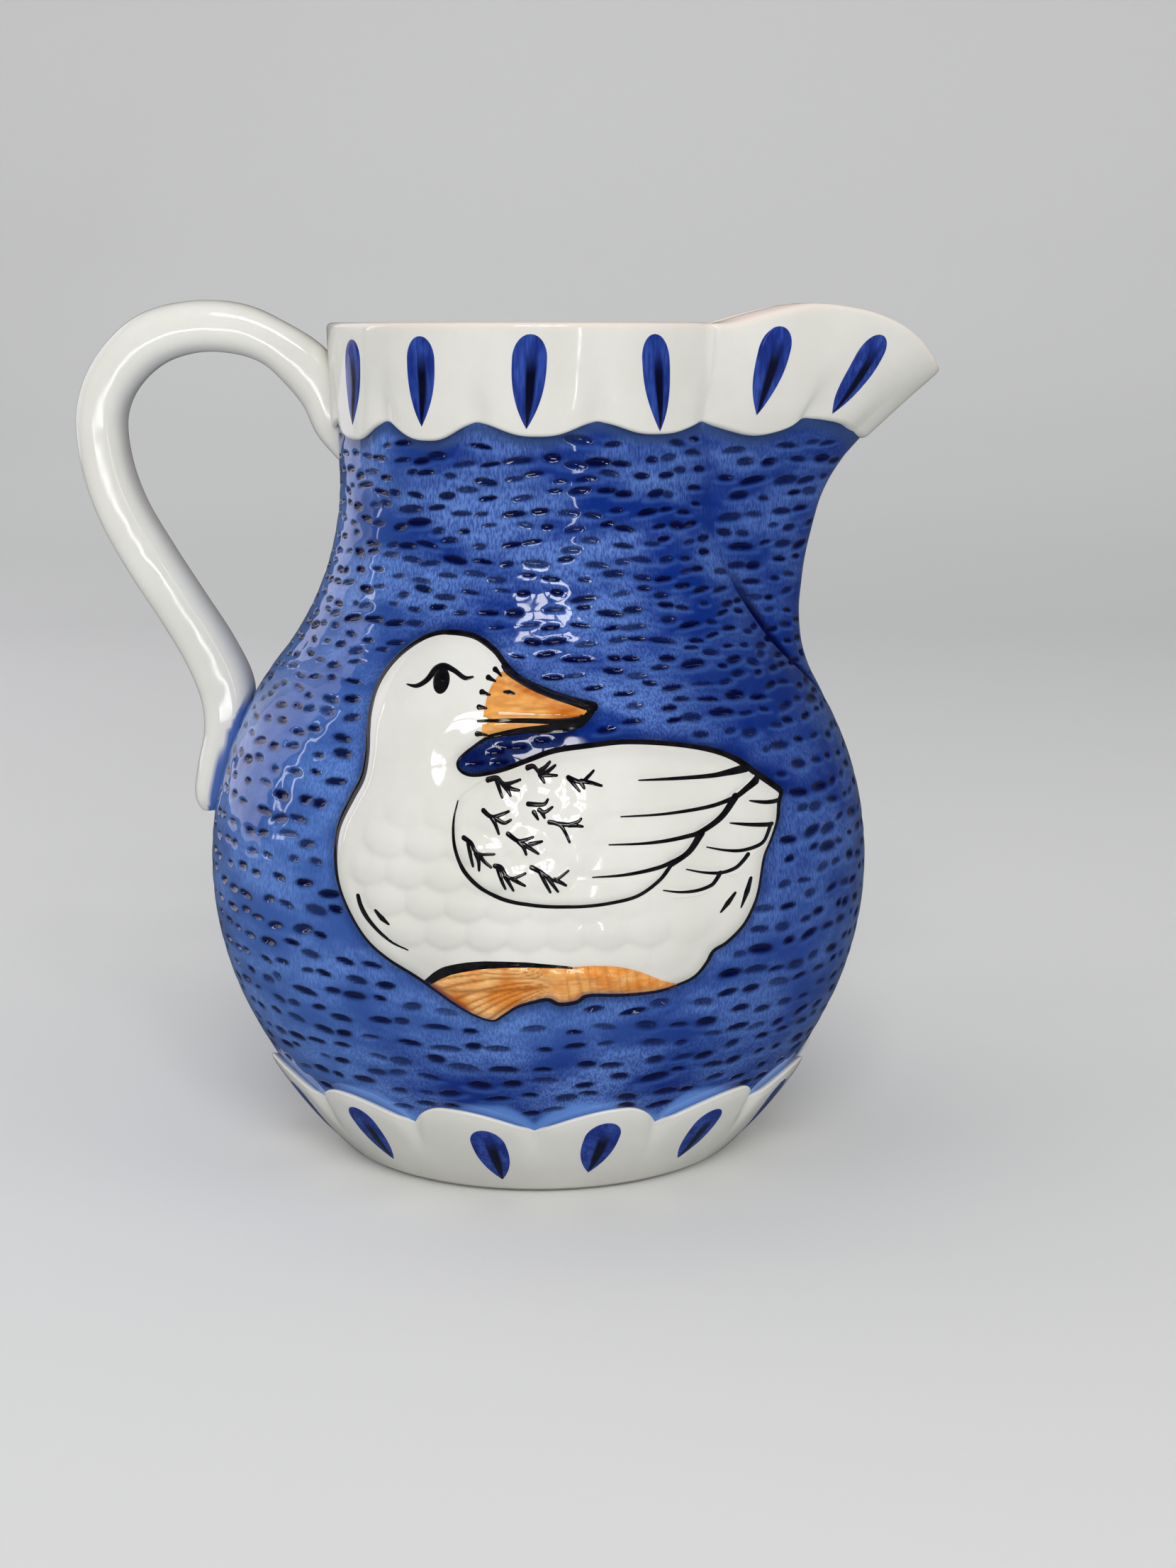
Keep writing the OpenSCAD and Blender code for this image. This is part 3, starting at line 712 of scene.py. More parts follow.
def foot_rise(x, z):
    """Rise of the foot: a round leg, and a long toe that stands over the ribbed web."""
    d = duck_edge(x, z)
    base = away_from(foot_outline, x, z, closed=True)
    rise = body_rise(x, z) + 0.35 * ease(base, 0, 1.4) + 0.2
    rise = rise + 0.76 * np.clip(base - 0.2, 0, 2) * ease(x, 1, 7) * (1 - ease(x, 17, 28))
    over = z - np.interp(x, *TOE_RIDGE)
    rise = rise + 0.5 * ease(over, -0.5, 0.7) * ease(base, 0.2, 1.6) * (1 - ease(x, 0, 6))
    return rise + 0.15 * foot_fan(x, z) * ease(base, 0.3, 2) * ease(d, 0, 2)


def foot_streak_and_toe_shadow(x, z):
    """Thin brown glaze in the web's lines and along the tips, and painted shade under the toe."""
    web = (0.62 - 0.25 * ease(x, 4, 16)) * ease(-foot_fan(x, z), 0.2, 0.95)
    # Painted shade in a dark line under the long toe's edge.
    toe = 0.6 * np.exp(-((z + 0.4 - np.interp(x, *TOE_RIDGE)) / 0.5) ** 2) * (1 - ease(x, 0, 6))
    tips = 0.95 * (1 - ease(away_from(TOE_TIPS, x, z), 0.9, 3.0))
    return np.maximum.reduce([web, toe, tips])


def front_of(x, z, rise):
    """A place on the front of the wall, with a rise straight out towards the front."""
    r = body_radius(z)
    return -np.sqrt(np.maximum(r * r - x * x, 0.0)) - rise


# Rings inside a relief's outline, the first cut of its grid, and how deep its back lies in the wall
EDGE_STEPS, FIRST_CUT, SINK = (0.35, 0.6), 0.31, 1.2


def relief(outline, rise, streak_and_shade=None, pitch=0.62):
    """A closed relief on the front of the wall: its outline is cut into a fine grid, raised and backed."""
    bm = bmesh.new()
    face = bm.faces.new([bm.verts.new((x, 0, z)) for x, z in outline])
    for step in EDGE_STEPS:
        bmesh.ops.inset_region(bm, faces=[face], thickness=step, use_even_offset=True)
    lows, highs = np.min(outline, 0), np.max(outline, 0)
    for axis, low, high in ((0, lows[0], highs[0]), (2, lows[1], highs[1])):
        ahead = bm.faces[:]
        normal = Vector((1, 0, 0)) if axis == 0 else Vector((0, 0, 1))
        for place in np.arange(low + FIRST_CUT, high, pitch):
            geom = list(dict.fromkeys(e for f in ahead for e in (*f.edges, *f.verts))) + ahead
            cut = bmesh.ops.bisect_plane(bm, geom=geom, dist=MERGE, plane_co=normal * place, plane_no=normal)
            ahead = [f for f in cut["geom"] if isinstance(f, bmesh.types.BMFace)
                     and f.calc_center_median()[axis] > place]
    marks = bm.verts.layers.float.new("streak_and_shade") if streak_and_shade else None
    back = bm.verts[:]
    front = bmesh.ops.extrude_face_region(bm, geom=bm.faces[:], use_keep_orig=True)["geom"]
    front = [v for v in front if isinstance(v, bmesh.types.BMVert)]
    for group, raised in ((back, False), (front, True)):
        x = np.array([v.co.x for v in group])
        z = np.array([v.co.z for v in group])
        y = front_of(x, z, rise(x, z) if raised else -SINK)
        for v, depth in zip(group, y):
            v.co.y = depth
        if streak_and_shade:
            for v, value in zip(group, streak_and_shade(x, z)):
                v[marks] = value
    return bm


# The wall's thumbed dimples

# Lowest row and highest, spacing along a row and from row to row, and what either gains low on the belly
DIMPLES_FROM, DIMPLES_TO = 22.0, 186
DIMPLE_PITCH, DIMPLE_PITCH_LOW = 7.9, 0.4
DIMPLE_ROWS, DIMPLE_ROWS_LOW = 3.95, 1.25
# On the spout: the first row and the last, their spacing, the pitch along one, and the size
SPOUT_FROM, SPOUT_TO, SPOUT_ROWS, SPOUT_PITCH, SPOUT_SIZE = 119.0, 184, 4.1, 7.8, 0.15
# Half length, half height, depth, lean and darkness of each dimple under the bill
THROAT_SHAPE = 1.9, 0.7, 0.55, 0.1, 1.0
# Rows and columns of the grids, the foot of the belly's, and how far a grid goes on behind the collar
BELLY_GRID, NECK_GRID, SPOUT_GRID = (266, 330), (204, 400), (210, 191)
WALL_FOOT, NECK_TOP, LAP = 18, 190, 3.5


def dimple_shape(draw, low):
    """Half length, half height, depth, lean and darkness of one dimple, larger low on the wall."""
    size = (1 + 0.1 * low) * draw.uniform(0.75, 1.2)
    return [size * draw.uniform(1.7, 3.1), size * draw.uniform(0.55, 0.85) * (1 + 0.06 * low),
            size * draw.uniform(0.4, 0.65), draw.uniform(-0.16, 0.16), 1 - 0.35 * draw.random() ** 2]


def dimple_rows(seed):
    """Staggered rows of dimples round one half: angle from the spout, height and shape of each."""
    draw = random.Random(seed)
    rows = []
    z, odd = DIMPLES_FROM, 0
    while z < DIMPLES_TO:
        slope = float(body_radius(z + 0.5) - body_radius(z - 0.5))
        low = 1 - float(ease(z, 100, 140))
        radius = float(body_radius(z))
        count = max(6, round(PI * radius / (DIMPLE_PITCH + DIMPLE_PITCH_LOW * low)))
        row = []
        for i in range(count):
            turn = PI * (i + 0.5 * odd + 0.25 + draw.uniform(-0.26, 0.26)) / count
            row.append([turn, z + draw.uniform(-1.1, 1.1), *dimple_shape(draw, low)])
        for one, two in zip(row, row[1:]):
            room = min(1.0, 0.88 * radius * (two[0] - one[0]) / (one[2] + two[2]))
            one[2], two[2] = room * one[2], room * two[2]
        rows += row
        z += (DIMPLE_ROWS + DIMPLE_ROWS_LOW * low) / math.hypot(1, slope)
        odd = 1 - odd
    return np.array(rows)


def clear_of_trim(turn, z):
    """Which dimples are clear of the collar, the band at the foot, the crease and the duck."""
    clear = (z > base_edge(turn)[0] + 2.2) & (z < collar_edge(turn)[0] - 2.4)
    r = skin_radius(turn, z)
    x = r * np.cos(turn)
    clear &= ~within(duck_outline, x, z) & (duck_edge(x, z) > 2.4)
    return clear & ((np.abs(np.abs(turn) - crease_turn(z)) * r > 2.6) | (z < 116))


def stamp(points, centres):
    """Presses dimples into a grid of points, with glaze pooled in them, painted shade above and a painted lit
    rim below.
    """
    out = np.cross(np.gradient(points, axis=1), np.gradient(points, axis=0))
    out /= np.linalg.norm(out, axis=2, keepdims=True) + 1e-9
    out *= np.sign((out * points * (1, 1, 0)).sum(2, keepdims=True))
    depth, pool_and_shade, dimple_lit_rim = np.zeros((3, *points.shape[:2]))
    # Every few rows and columns are searched for a dimple's place, and the span round it is pressed
    rows, columns, span, farthest = 6, 4, 18, 6.0
    coarse = points[::rows, ::columns]
    for centre, a, b, deep, lean, tone in centres:
        gap = ((coarse - centre) ** 2).sum(2)
        i, j = np.unravel_index(np.argmin(gap), gap.shape)
        if gap[i, j] > farthest ** 2:
            continue
        i, j = rows * i, columns * j
        part = np.s_[max(i - span, 0):i + span + 1, max(j - span, 0):j + span + 1]
        along = np.cross((0, 0, 1), out[i, j])
        along /= np.linalg.norm(along)
        rise = np.cross(out[i, j], along)
        off = points[part] - centre
        p, q = off @ along, off @ rise
        p, q = p * math.cos(lean) + q * math.sin(lean), q * math.cos(lean) - p * math.sin(lean)
        q = q + 0.07 * p * p / a
        rho = np.abs(p / a) ** 2.3 + (q / np.where(q > 0, 0.75 * b, 1.3 * b)) ** 2
        hollow = deep * np.clip(1 - rho, 0, 1) ** 0.9 + 0.16 * np.exp(-rho / 2.2)
        # Pooled glaze in the hollow, darker towards its upper edge as painted shade.
        wet = ease(1.7 - rho, 0, 1.05) * (0.8 + 0.2 * ease(q / b, -0.9, 0.3))
        wet = wet + 0.22 * (1 - ease(rho, 1.0, 3.6))
        # Paler rim below each dimple: painted light on its lower lip.
        rim = 0.16 * np.exp(-((np.sqrt(rho) - 1.75) / 0.5) ** 2) * ease(-q / b, 0.1, 1.2)
        for values, more in ((depth, hollow), (pool_and_shade, tone * np.minimum(wet, 1)), (dimple_lit_rim, rim)):
            values[part] = np.maximum(values[part], more)
    return points - out * depth[..., None], pool_and_shade, dimple_lit_rim * (1 - pool_and_shade)


def folded(grid, pool_and_shade, turn, z):
    """Presses the fold between the spout and the wall into a grid of points, with painted shade where glaze
    gathers in it.
    """
    r = np.hypot(grid[..., 0], grid[..., 1])
    gap = (np.abs(turn) - crease_turn(z)) * r
    window = ease(z, 112.5, 119) * (1 - ease(z, 139, 156))
    inward = 1 - 1.3 * window * np.exp(-(gap / 1.8) ** 2) / r
    grid = grid * np.stack([inward, inward, np.ones(r.shape)], -1)
    # Painted shade along the fold, where the spout overhangs the wall.
    return grid, np.maximum(pool_and_shade, window * np.exp(-(gap / 2.0) ** 4))


def run_along(line):
    """Distance along a row of places, from its first to each."""
    return np.concatenate([[0], np.cumsum(np.linalg.norm(np.diff(line, axis=0), axis=1))])


def wall_rows(low, high, count):
    """Heights evenly spaced along the body's curve."""
    z = np.linspace(low, high, 2000)
    run = run_along(np.stack([z, body_radius(z)], 1))
    return np.interp(np.linspace(0, run[-1], count), run, z)


def under_collar(turn, z):
    """Painted shadow under the collar's edge: a grey band, where the glaze also runs thin."""
    return 0.8 * (1 - ease(collar_edge(turn)[0] - z, 1.0, 3.8))


def over_band(turn, z):
    """Pale glaze over the band at the foot."""
    return 0.8 * (1 - ease(z - base_edge(turn)[0], 0.6, 3.4))


def spout_shade(x):
    """The wash is darker towards the spout."""
    return 0.46 * ease(x, 15, 60)


def shoulder_shade(x, z):
    """It is darkest on the shoulder beside the spout."""
    return 0.5 * ease(x, 22, 42) * np.exp(-((z - 126) / 13) ** 2)


def paler_wash(x, z):
    """The wash is paler low on the belly and towards the handle."""
    low = 0.22 * ease(z, 34, 52) * (1 - ease(z, 62, 90)) * (1 - 0.6 * ease(x, 0, 35))
    return np.maximum(low, 0.3 * ease(-x, 18, 55))


def backed(grid, turn_at, z, fields):
    """A piece of wall from its outside grid, with a plain layer of a few rows behind it."""
    rows = 12
    layers = [grid]
    for share in np.linspace(1, 0, rows):
        level = z[0] + (z[-1] - z[0]) * share
        layers.append(skin(turn_at(level), level, -SKIN_T)[None])
    spare = np.zeros((rows, grid.shape[1]))
    return turned(np.concatenate(layers), fields={k: np.vstack([f, spare]) for k, f in fields.items()},
                  outer=len(grid))


def side_wall(side, seed, upper):
    """One half of the belly's outside, or of the neck's, from the handle round to the spout's crease."""
    rows, columns = NECK_GRID if upper else BELLY_GRID
    u = np.linspace(0, 1, columns)

    def turn_at(level):
        return PI * (1 - u) + u * crease_turn(level)

    if upper:
        top = collar_edge(turn_at(np.array(188.0)))[0] + LAP
        even = wall_rows(SEAM_Z, NECK_TOP, rows)[:, None]
        z = SEAM_Z + (even - SEAM_Z) * (top - SEAM_Z) / (NECK_TOP - SEAM_Z)
    else:
        z = wall_rows(WALL_FOOT, SEAM_Z, rows)[:, None] + 0 * u
    turn = turn_at(z)
    marks = dimple_rows(seed)
    limit = crease_turn(marks[:, 1])
    angle = limit + marks[:, 0] * (PI - limit) / PI
    keep = clear_of_trim(angle, marks[:, 1])
    centres = list(zip(skin(side * angle, marks[:, 1])[keep], *marks[keep, 2:].T))
    centres += [((x, -side * front_of(x, height, 0), height), *THROAT_SHAPE) for x, height in THROAT_DIMPLES]
    # Dimples with pooled glaze, painted shade and a painted lit rim.
    grid, pool_and_shade, dimple_lit_rim = stamp(skin(side * turn, z), centres)
    grid, pool_and_shade = folded(grid, pool_and_shade, turn, z)
    x, _, height = np.moveaxis(grid, 2, 0)
    # Painted shade on the wall under the bill, where glaze also pools.
    near = np.where(within(THROAT, x, height), 0.0, away_from(THROAT, x, height, closed=True))
    pool_and_shade = np.maximum(pool_and_shade, 0.8 * (1 - ease(near, 0, 2.5)))
    # A darker ring round the duck: painted shade at the foot of the relief, where glaze also pools.
    pool_and_shade = np.maximum(pool_and_shade, 0.4 * (1 - ease(duck_edge(x, height), 0.5, 3.2)))
    # Paler over the foot band and towards the handle, and painted light on the rims below the dimples.
    pale = np.maximum.reduce([over_band(turn, z), dimple_lit_rim, paler_wash(x, height)])
    return backed(grid, lambda level: side * turn_at(level), z,
                  {"pool_and_shade": pool_and_shade, "collar_shadow": under_collar(turn, z), "pale": pale,
                   "deep": spout_shade(x) + shoulder_shade(x, height)})


def lip_turn(v, z):
    """Angle from the spout's middle of a place across the spout, from -1 to 1."""
    root, reach, half = lip_plan(z)
    return np.arctan2(half * v, lip_forward(root, reach, v))


def spout_dimples():
    """Staggered rows of dimples across the spout, clear of its creases, its middle and its collar."""
    draw = random.Random(31)
    centres = []
    height, odd = SPOUT_FROM, 0
    while height < SPOUT_TO:
        line = skin(lip_turn(np.linspace(-1, 1, 400), height), height)
        run = run_along(line)
        count = max(1, round(run[-1] / SPOUT_PITCH))
        for i in range(count):
            place = run[-1] * (i + 0.25 + 0.5 * odd + draw.uniform(-0.2, 0.2)) / count
            centre = np.array([np.interp(place, run, line[:, k]) for k in range(3)])
            centre[2] += draw.uniform(-0.8, 0.8)
            shape = dimple_shape(draw, SPOUT_SIZE)
            on_side = 2.5 < place < run[-1] - 2.5 and abs(place - run[-1] / 2) > 3
            if on_side and centre[2] < collar_edge(math.atan2(centre[1], centre[0]))[0] - 2.2:
                centres.append((centre, *shape))
        height += SPOUT_ROWS
        odd = 1 - odd
    return centres


def spout_wall():
    """The outside of the spout, from crease to crease."""
    rows, columns = SPOUT_GRID
    v = np.linspace(-1, 1, columns)
    top = collar_edge(lip_turn(v, 185.0))[0] + LAP
    z = SPOUT_Z + (top - SPOUT_Z) * np.linspace(0, 1, rows)[:, None]
    turn = lip_turn(v, z)
    # Dimples with pooled glaze, painted shade and a painted lit rim.
    grid, pool_and_shade, dimple_lit_rim = stamp(skin(turn, z), spout_dimples())
    grid, pool_and_shade = folded(grid, pool_and_shade, turn, z)
    return backed(grid, lambda level: lip_turn(v, level), z,
                  {"pool_and_shade": pool_and_shade, "collar_shadow": under_collar(turn, z), "pale": dimple_lit_rim,
                   "deep": spout_shade(grid[..., 0])})


# The bands, the inside and the foot

# The rim from outside to inside: how far it stands out of the wall, its drop, and how thin its glaze is
RIM_PROFILE = [(1.42, 1.0, 0.35), (1.2, 0.5, 0.6), (0.75, 0.16, 0.85), (0.0, 0.0, 1.0), (-1.0, 0.0, 1.0),
               (-2.1, 0.02, 1.0), (-3.1, 0.2, 0.85), (-3.8, 0.6, 0.6), (-4.25, 1.2, 0.35), (-4.45, 2.0, 0.15)]
# Depth inside the rim to which the collar goes down, and where the inside's own wall begins
INSIDE_DROP = 14
# The band's lower edge: how far it stands out of the wall, and height
BASE_PROFILE = [(-0.9, 6.0), (-0.9, 0.9), (-0.4, 0.25), (0.4, 0.0), (1.1, 0.12), (1.6, 0.5)]
# Inside: the floor's height, the height at which the wall has left it, and the floor's rings
FLOOR_Z, FLOOR_END = 7.2, 15.2
FLOOR_RINGS = [0.0, 6, 14, 22, 30, 37, 43]
# The underside, from its middle over the bare ring and back above it: radius and height
FOOT_PROFILE = [(0, 2.5), (14, 2.45), (28, 2.3), (37, 2.1), (39.8, 1.7), (41, 1.0), (41.5, 0.35), (42.3, 0.0),
                (45, 0.0), (47.4, 0.0), (48.3, 0.3), (48.6, 1.2), (50.6, 3.0), (52.4, 5.4), (40, 5.6),
                (20, 5.6), (0, 5.6)]


def ring(turn, r, z):
    """Places at a radius and a height over a row of angles."""
    return np.stack([r * np.cos(turn), r * np.sin(turn), z + 0 * turn], -1)


def collar_band(turn):
    """The white collar with its rolled lower edge and rounded rim, over a row of angles from the spout."""
    low, pinch = collar_edge(turn)
    high = rim_height(turn)
    pinched = np.exp(-(pinch / 3.2) ** 2)
    roll = 0.9
    rows, thin = [], []

    def stand(up):
        fade = np.exp(-(up / 9.0) ** 2)
        return COLLAR_T - 1.25 * pinched * fade + 0.25 * (1 - pinched) * np.exp(-((up - 4.5) / 4.5) ** 2)

    def add(grow, z, bare=0.0):
        rows.append(skin(turn, z, grow))
        thin.append(np.full(turn.shape, bare))

    add(-1.0, low + 2.2)
    add(-0.9, low + 0.8)
    for a in np.radians(np.linspace(-115, 0, 9)):
        add(stand(roll) - roll + roll * math.cos(a), low + roll + roll * math.sin(a))
    for share in np.linspace(0, 1, 52)[1:]:
        z = low + roll + (high - 1.6 - low - roll) * share
        add(stand(z - low), z, 0.15 * max(0.0, share - 0.93) / 0.07)
    for grow, drop, bare in RIM_PROFILE:
        add(grow, high - drop, bare)
    for drop in np.linspace(3, INSIDE_DROP, 12):
        add(-WALL, high - drop)
    add(-2.6, high - INSIDE_DROP)
    return turned(np.array(rows), fields={"thin": np.array(thin)})


def base_band():
    """The white band at the foot with its rolled, lobed upper edge."""
    turn = np.linspace(-PI / 2, 1.5 * PI, 364, endpoint=False)
    high, pinch = base_edge(turn)
    pinched = np.exp(-(pinch / 2.6) ** 2)
    roll = 0.8
    rows = []

    def stand(down):
        fade = np.exp(-(down / 6.0) ** 2)
        return BASE_T - 1.35 * pinched * fade - 0.35 * np.exp(-(down / 2.0) ** 2)

    def add(grow, z):
        rows.append(ring(turn, body_radius(z + 0 * turn, grow), z))

    for grow, z in BASE_PROFILE:
        add(grow, z)
    for share in np.linspace(0, 1, 44):
        z = 1.2 + (high - roll - 1.2) * share
        add(stand(high - z), z)
    for a in np.radians(np.linspace(0, 115, 9))[1:]:
        add(stand(roll) - roll + roll * math.cos(a), high - roll + roll * math.sin(a))
    add(-0.8, high - 0.7)
    add(-0.9, high - 2.4)
    return turned(np.array(rows), full=True)


def inside_wall():
    """The white inside: floor, belly, neck and the spout's throat, backed by a plain layer."""
    turn = np.linspace(-PI, PI, 288, endpoint=False)
    top = rim_height(turn) - INSIDE_DROP
    r0 = float(body_radius(FLOOR_END, -WALL))
    slope = float(body_radius(FLOOR_END + 0.5, -WALL)) - float(body_radius(FLOOR_END - 0.5, -WALL))
    rows = [ring(turn, r, FLOOR_Z) for r in FLOOR_RINGS]
    a, b, c = np.array((45.0, FLOOR_Z)), np.array((r0 - slope * 8, FLOOR_Z)), np.array((r0, FLOOR_END))
    for t in np.linspace(0, 1, 9)[:-1]:
        rows.append(ring(turn, *((1 - t) ** 2 * a + 2 * t * (1 - t) * b + t * t * c)))
    for shares, grow in ((np.linspace(0, 1, 96), -WALL), (np.linspace(1, 0, 20), -SKIN_T - 0.6)):
        rows += [skin(turn, FLOOR_END + (top - FLOOR_END) * share, grow) for share in shares]
    rows += [ring(turn, r, FLOOR_Z - 1.5) for r in (r0 - 7, 20.0, 0.0)]
    return turned(np.array(rows), full=True)


def foot_ring():
    """The underside: a bare ring that the pitcher stands on, and the hollow inside it."""
    turn = np.linspace(-PI, PI, 128, endpoint=False)
    return turned(np.array([ring(turn, r, z) for r, z in FOOT_PROFILE]), full=True)


# The handle's middle line, distance from the axis and height, and its thickness and width there
HANDLE_RIBS = [
    (-47, 175.5, 3, 12), (-48, 178.5, 7, 15), (-50, 184.5, 12, 16.5), (-53, 192.6, 13.4, 16.5),
    (-58.3, 199.3, 13.4, 16.5), (-66, 205, 11.8, 16.5), (-75, 208.5, 12.6, 17), (-86, 209, 12.9, 17),
    (-97, 205.8, 13.4, 17), (-105.5, 198, 12.8, 17), (-109.8, 188, 12.3, 17), (-109.3, 176, 12.2, 17),
    (-105.5, 163.5, 12.4, 17), (-98.5, 150.5, 12.8, 17), (-91, 138.5, 12.8, 17), (-84.2, 127, 13.4, 17.5),
    (-79.9, 116.5, 14, 18.5), (-79.8, 106.5, 12.6, 19.5), (-82, 97, 12, 19), (-83.6, 90, 10.6, 17),
    (-83.4, 86.5, 7, 13),
]
# Sides round the strap, and how square it is: 2 is a true ellipse
STRAP_SIDES, STRAP_SQUARE = 56, 2.9


def handle_strap():
    """The strap handle, its ends let into the wall with a soft joint, with blue lapping on to its tail."""
    ribs = smooth_curve(HANDLE_RIBS, 12)
    way = np.gradient(ribs[:, :2], axis=0)
    way /= np.linalg.norm(way, axis=1, keepdims=True)
    a = np.linspace(0, 2 * PI, STRAP_SIDES, endpoint=False)[:, None]
    power = 2 / STRAP_SQUARE
    u = ribs[:, 2] / 2 * np.sign(np.cos(a)) * np.abs(np.cos(a)) ** power
    v = ribs[:, 3] / 2 * np.sign(np.sin(a)) * np.abs(np.sin(a)) ** power
    x, z = ribs[:, 0] + u * way[:, 1], ribs[:, 1] - u * way[:, 0]
    r = np.hypot(x, v)
    least = body_radius(z) - 1.5
    pull = (r + least + np.sqrt((r - least) ** 2 + 4)) / 2 / r
    gap = r * pull - body_radius(z)
    blue = 0.95 * (1 - ease(gap, 1.6, 2.2)) * (1 - ease(z, 112, 120))
    thin = 0.45 * ease(np.abs(np.cos(a)), 0.93, 1.0) + 0 * z
    return turned(np.stack([x * pull, v * pull, z], -1), fields={"blue": blue, "thin": thin})


# Painted strokes

# Distance from which strokes are laid on to a surface, and how far their backs are let into it
RAY_FROM, LET_IN = 60, 0.3
# Places across a brush line, and how far each stands proud
LINE_SHARES = np.array((-1, -0.55, 0, 0.55, 1))
LINE_PROUD = np.array((0.03, 0.13, 0.17, 0.13, 0.03))
# The pupil's middle, half width and half height, its lean, and its rings with how far each stands proud
PUPIL, PUPIL_HALF, PUPIL_LEAN = (-21.1, 128.7), (1.95, 2.75), 0.25
PUPIL_RINGS = [(0.02, 0.3), (0.4, 0.28), (0.8, 0.2), (1.0, 0.03)]


def brush_line(points, widths):
    """A drawn line with round ends, and the way to the side of its stroke, whose width follows its places."""
    line = smooth_curve(points, 6) if len(points) > 2 else np.linspace(points[0], points[1], 7)
    way = np.gradient(line, axis=0)
    way /= np.linalg.norm(way, axis=1, keepdims=True) + 1e-9
    side = np.stack([-way[:, 1], way[:, 0]], 1)
    half = np.interp(np.linspace(0, 1, len(line)), np.linspace(0, 1, len(widths)), widths)[:, None] / 2
    cap = np.radians((25, 50, 75))[:, None]
    first = line[0] - way[0] * half[0] * np.sin(cap[::-1])
    last = line[-1] + way[-1] * half[-1] * np.sin(cap)
    half = np.vstack([half[0] * np.cos(cap[::-1]), half, half[-1] * np.cos(cap)])
    side = np.vstack([side[:1].repeat(len(cap), 0), side, side[-1:].repeat(len(cap), 0)])
    return np.vstack([first, line, last]), side * half


def drape(tree, grid, toward, proud):
    """Drops a grid of places on to a surface along a direction, and lifts it a little."""
    out = np.empty_like(grid)
    for i in range(grid.shape[0]):
        for j in range(grid.shape[1]):
            way = Vector(toward(grid[i, j]))
            hit = tree.ray_cast(Vector(grid[i, j]) - way * RAY_FROM, way)[0]
            out[i, j] = grid[i, j] if hit is None else hit - way * proud[i, j]
    return out


def sheet(bm, grid, toward, uv=None):
    """Adds a grid of places as a thin closed patch, its back let into the surface."""
    rows, columns = grid.shape[:2]
    made = bmesh.ops.create_grid(bm, x_segments=columns - 1, y_segments=rows - 1, size=1.0)["verts"]
    for v in made:
        j = round((v.co.x + 1) / 2 * (columns - 1))
        i = round((v.co.y + 1) / 2 * (rows - 1))
        v.co = grid[i, j]
        if uv is not None:
            v[uv[0]], v[uv[1]] = j / (columns - 1), i / (rows - 1)
    faces = list(dict.fromkeys(f for v in made for f in v.link_faces))
    under = bmesh.ops.extrude_face_region(bm, geom=faces, use_keep_orig=True)["geom"]
    for v in under:
        if isinstance(v, bmesh.types.BMVert):
            v.co += Vector(toward(v.co)) * LET_IN


def to_back(point):
    """The way straight back, the same for every place."""
    return (0.0, 1.0, 0.0)


def to_axis(point):
    """The level way from a place to the axis."""
    r = math.hypot(point[0], point[1])
    return (-point[0] / r, -point[1] / r, 0.0)


# Brush lines of the duck, each with its widths from start to end
STROKES = [
    (WING_EDGE, (0.3, 0.8, 1.1, 0.9, 0.8, 0.85, 1.0)),
    *[(line, (0.3, 0.75, 1.0, 1.3, 1.8)) for line in FEATHERS],
    *[(line, (0.3, 0.75, 0.95, 1.1)) for line in TAIL_LINES],
    ([WING_EDGE[-1], *WING_TIPS[:2]], (1.4, 1.2, 1.6)),
    ([(-40.1, 80.5), (-39.5, 78.3), (-38, 75.7), (-35.2, 72.8), (-32.1, 70.5), (-28.4, 69.1)],
     (1.0, 1.25, 0.9, 0.35)),
    ([(-35.8, 77.7), (-34.4, 76.1), (-32.8, 75)], (0.9, 1.3, 0.6)),
    ([(46.8, 80.2), (45.1, 78.2), (43.4, 76.3)], (0.7, 1.3, 0.5)),
    ([(50.6, 82.9), (49.7, 80), (48.3, 76.5)], (0.9, 1.4, 0.4)),
    ([(-24.2, 61), (-21.5, 63.6), (-18, 65.5), (-13.3, 66.7), (-7.1, 67.3), (-0.9, 67.3), (5.2, 66.9),
      (9.1, 66.4)], (1.6, 2.3, 2.0, 1.4, 0.9, 0.4)),
    (MOUTH, (0.5, 1.0, 1.3, 1.7, 2.0)),
    ([(-9.8, 116.9), (-3.3, 118.2), (2.1, 118.5), (7.5, 118.9), (11.3, 119.9), (13.3, 122.2)],
     (1.0, 1.4, 2.0, 2.2, 2.0, 1.4)),
    ([(-6.7, 131.8), (-5.3, 130.4), (-1.2, 128.1), (4.3, 125.9), (9.8, 124.2), (14, 123)],
     (1.3, 1.4, 1.6, 1.6, 2.2)),
    ([(-29.3, 127.4), (-26.9, 127.3), (-24.5, 128.7), (-22.6, 130.9), (-20.6, 131.7), (-18.2, 130.9),
      (-15.7, 129.4), (-13.8, 129.6)], (0.3, 0.9, 1.2, 1.5, 1.4, 1.1, 1.0, 0.5)),
    ([(-6.5, 126.7), (-5.3, 126.6), (-4.1, 126.3)], (0.5, 1.0, 0.4)),
    ([(-7.3, 129.9), (-8, 130.6), (-8.7, 131.2)], (0.5, 0.8, 1.25)),
    ([(-8.6, 128.8), (-9.4, 129.1), (-10.2, 129.5)], (0.5, 0.8, 1.3)),
    ([(-9.8, 126), (-10.7, 126.2), (-11.6, 126.5)], (0.5, 0.8, 1.3)),
    ([(-10.5, 123.2), (-11.3, 123.3), (-12.2, 123.4)], (0.5, 0.8, 1.2)),
    ([(-10.4, 117.3), (-11.4, 117.5), (-12.5, 117.6)], (0.6, 0.9, 1.3)),
    *[(line, (1.1, 0.95, 0.8, 0.6)) for line in FEATHER_MARKS],
]


